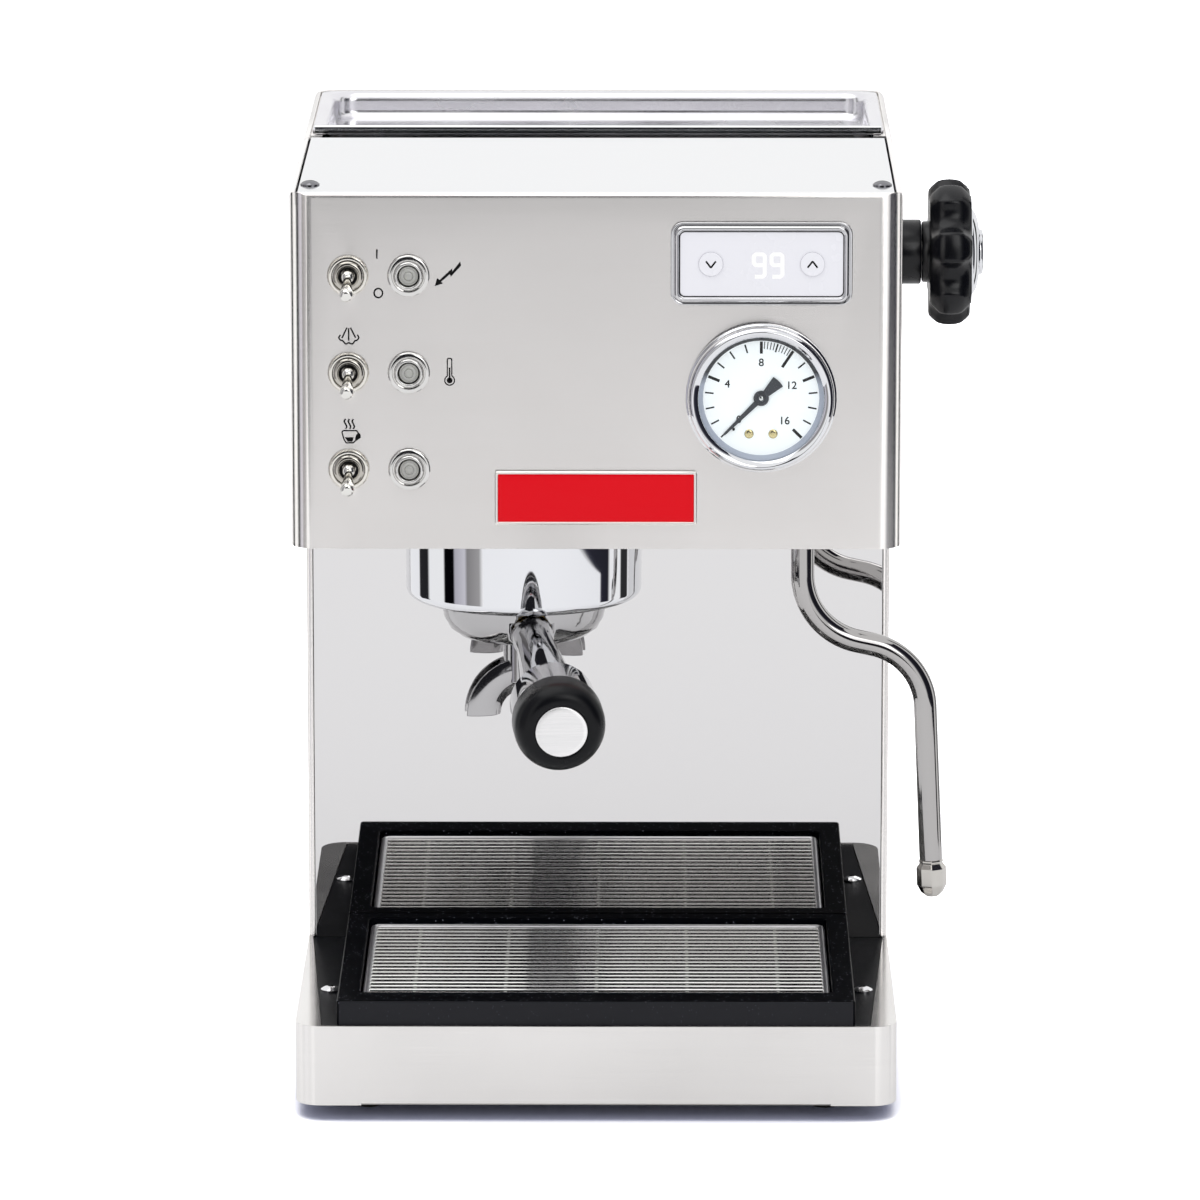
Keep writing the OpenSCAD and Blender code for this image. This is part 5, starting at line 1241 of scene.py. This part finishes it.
# ---- Badge ----
# A pressed plate with a thin silver border round a field of red enamel; it
# stays bare.

badge_low, badge_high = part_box("badge")
badge_place = facing_middle(badge_low, badge_high)
badge_half = (badge_high.x - badge_low.x) / 2
badge_rise = (badge_high.z - badge_low.z) / 2


def badge_step(levels):
    """A stepped part of the badge from its edge inwards, [inset, height] in millimetres."""
    shape = ring_stack([(badge_half - i * mm, -badge_rise + i * mm, badge_rise - i * mm,
                         max(1.0 - i * 0.6, 0.35) * mm, h * mm) for i, h in levels], 6)
    shape.transform(badge_place)
    return shape


border = badge_step([(0, 0.02), (0, 0.9), (0.25, 1.2), (0.45, 1.38), (0.95, 1.38), (1.15, 1.15), (1.25, 0.9),
                     (1.25, 0.5), (1.25, 0.02)])
# a satin silver that stays bright from every side
border_silver = bright_chrome("satin_silver_border", "#f6f4f0", 0.28)
make_piece("badge_border", border, border_silver, "badge", ("badge",), crease=50)
enamel = smooth_plastic("red_enamel", "#d60014", 0.16, 0.15)
field = badge_step([(1.22, 0.5), (1.22, 0.95), (1.45, 1.03), (1.8, 1.06)])
make_piece("badge_enamel", field, enamel, "badge", crease=40)


# ---- Printed signs on the front panel ----
# Thin black screen printing beside the switches and lamps: on and off, a
# lightning arrow, steam, a thermometer and a cup.

sign_z = 0.05


def circle(across, along, steps):
    """Points round a circle or an oval, from its half widths."""
    turns = [math.tau * i / steps for i in range(steps)]
    return [(across * math.cos(a), along * math.sin(a)) for a in turns]


def filled(points, place):
    """A flat printed patch."""
    patch = bmesh.new()
    patch.faces.new([patch.verts.new((x * mm, y * mm, 0)) for x, y in points])
    bmesh.ops.triangulate(patch, faces=patch.faces)
    bmesh.ops.recalc_face_normals(patch, faces=patch.faces)
    patch.transform(place @ Matrix.Translation((0, 0, sign_z * mm)))
    return patch


def sign(name, *shapes):
    """One printed sign as a piece of the front panel."""
    make_piece(name, merged(*shapes), sign_ink, "front_panel")


def sign_at(left, height):
    """A sign's place, in millimetres left of the panel's middle and above the floor."""
    return facing(middle_x - left * mm, height * mm)


sign("sign_on", printed([[(0, -1.75), (0, 1.75)]], 0.6, sign_at(81.9, 336), sign_z))
sign("sign_off", printed([circle(1.6, 1.75, 16)], 0.58, sign_at(81.4, 321.2), sign_z, closed=True))
bolt = [(0, 0), (0.9, 3.1), (1.85, 2.4), (6.6, 6.8), (6.55, 5.5), (9.55, 9.4), (9.95, 7.9), (6.05, 3.6),
        (5.7, 4.6), (2.4, 1.65), (3.1, 1.1)]
sign("sign_power", filled(bolt, sign_at(60.3, 323.8)))

plume = [(-3.09, 0.39), (-3.77, -0.69), (-3.04, -1.76), (-2.4, -1.67), (-1.27, -2.99), (-0.98, -3.1),
         (-0.05, -2.55), (0.93, -3.04), (1.57, -2.99), (2.35, -1.76), (3.04, -1.76), (3.87, -0.74),
         (3.28, 0.49)]
jets = [[(0, 2.94), (0, -1.76)], [(-0.64, 3.14), (-2.5, -0.78)], [(0.69, 3.14), (2.6, -0.74)]]
sign("sign_steam", printed(jets + [plume], 0.56, sign_at(92.6, 304.9), sign_z))

# the thermometer: a stem that opens into a round bulb
bulb_r, stem, stem_top = 1.85, 0.83, 8.0
foot_angle = math.degrees(math.acos(stem / bulb_r))
glass_line = [(stem, stem_top)] + arc(0, 0, bulb_r, foot_angle, -180 - foot_angle, 12)
glass_line += [(-stem, stem_top), (-0.5, stem_top + 0.35), (0.5, stem_top + 0.35)]
thermo_place = sign_at(54.85, 288)
sign("sign_heat", printed([glass_line], 0.46, thermo_place, sign_z, closed=True),
     filled(circle(1.12, 1.12, 20), thermo_place),
     filled([(-0.3, 0), (0.3, 0), (0.3, 4.9), (-0.3, 4.9)], thermo_place))

cup_place = sign_at(92.4, 268.4)
vapour = [[(-1.6, 4.9), (-2.15, 3.97), (-1.1, 1.98), (-1.54, 1.05)],
          [(-0.17, 4.85), (-0.6, 3.97), (0.39, 1.87), (-0.11, 1.05)],
          [(1.32, 4.8), (0.88, 3.97), (1.79, 1.87), (1.27, 1.05)]]
cup = [(-2.53, 0.39), (2.53, 0.39), (3.8, -1.32), (3.86, -2.2), (2.2, -3.36), (1.32, -4.24), (-1.43, -4.3),
       (-2.26, -2.75), (-2.98, -0.22)]
handle = [(3.14, -0.39), (3.86, -1.43), (3.86, -2.31), (2.2, -3.39), (1.93, -2.75), (2.37, -1.21)]
coffee = [(-1.98, -2.15), (1.43, -2.15), (0.99, -3.8), (-0.88, -3.8)]
sign("sign_coffee", printed(vapour, 0.58, cup_place, sign_z),
     printed([cup], 0.5, cup_place, sign_z, closed=True),
     filled(handle, cup_place), filled(coffee, cup_place))


# ---- Screws of the cover and the plate ----
# Stainless screws with low domed heads, bright from tumbling.

screw_steel = bright_chrome("tumbled_screw_steel", "#e9e9eb", 0.1)
# painted shade: the cover's two screws take a darker copy of the same steel, a little duller than the plate's
shaded_screw_steel = bright_chrome("screw_steel_painted_shade", "#87878b", 0.12)
finish_node("casing_screws", screw_steel)
screw_mesh = nodes["casing_screws"].data
screw_mesh.materials.append(shaded_screw_steel)
# faces above the front panel's foot belong to the cover's screws and take the painted shade
for face in screw_mesh.polygons:
    face.material_index = int(face.center.z > panel_low.z)


# ---- Works behind the skin ----
# Copper pipes, a green circuit board and a milky polypropylene water tank.

copper = mill_steel("drawn_copper", "#c77e5a", 0.25)
finish_node("pipework", copper)
board = smooth_plastic("green_circuit_board", "#1f5b33", 0.35)
finish_node("control_board", board)
milky, tree = new_finish("milky_polypropylene")
end_in_surface(tree, {"Base Color": linear("#e3ebf0"), "Transmission Weight": 0.6,
                      "Roughness": spread(tree, noise(tree, 30.0, 3.0), 0.3, 0.7, 0.3, 0.4)})
finish_node("water_tank", milky)
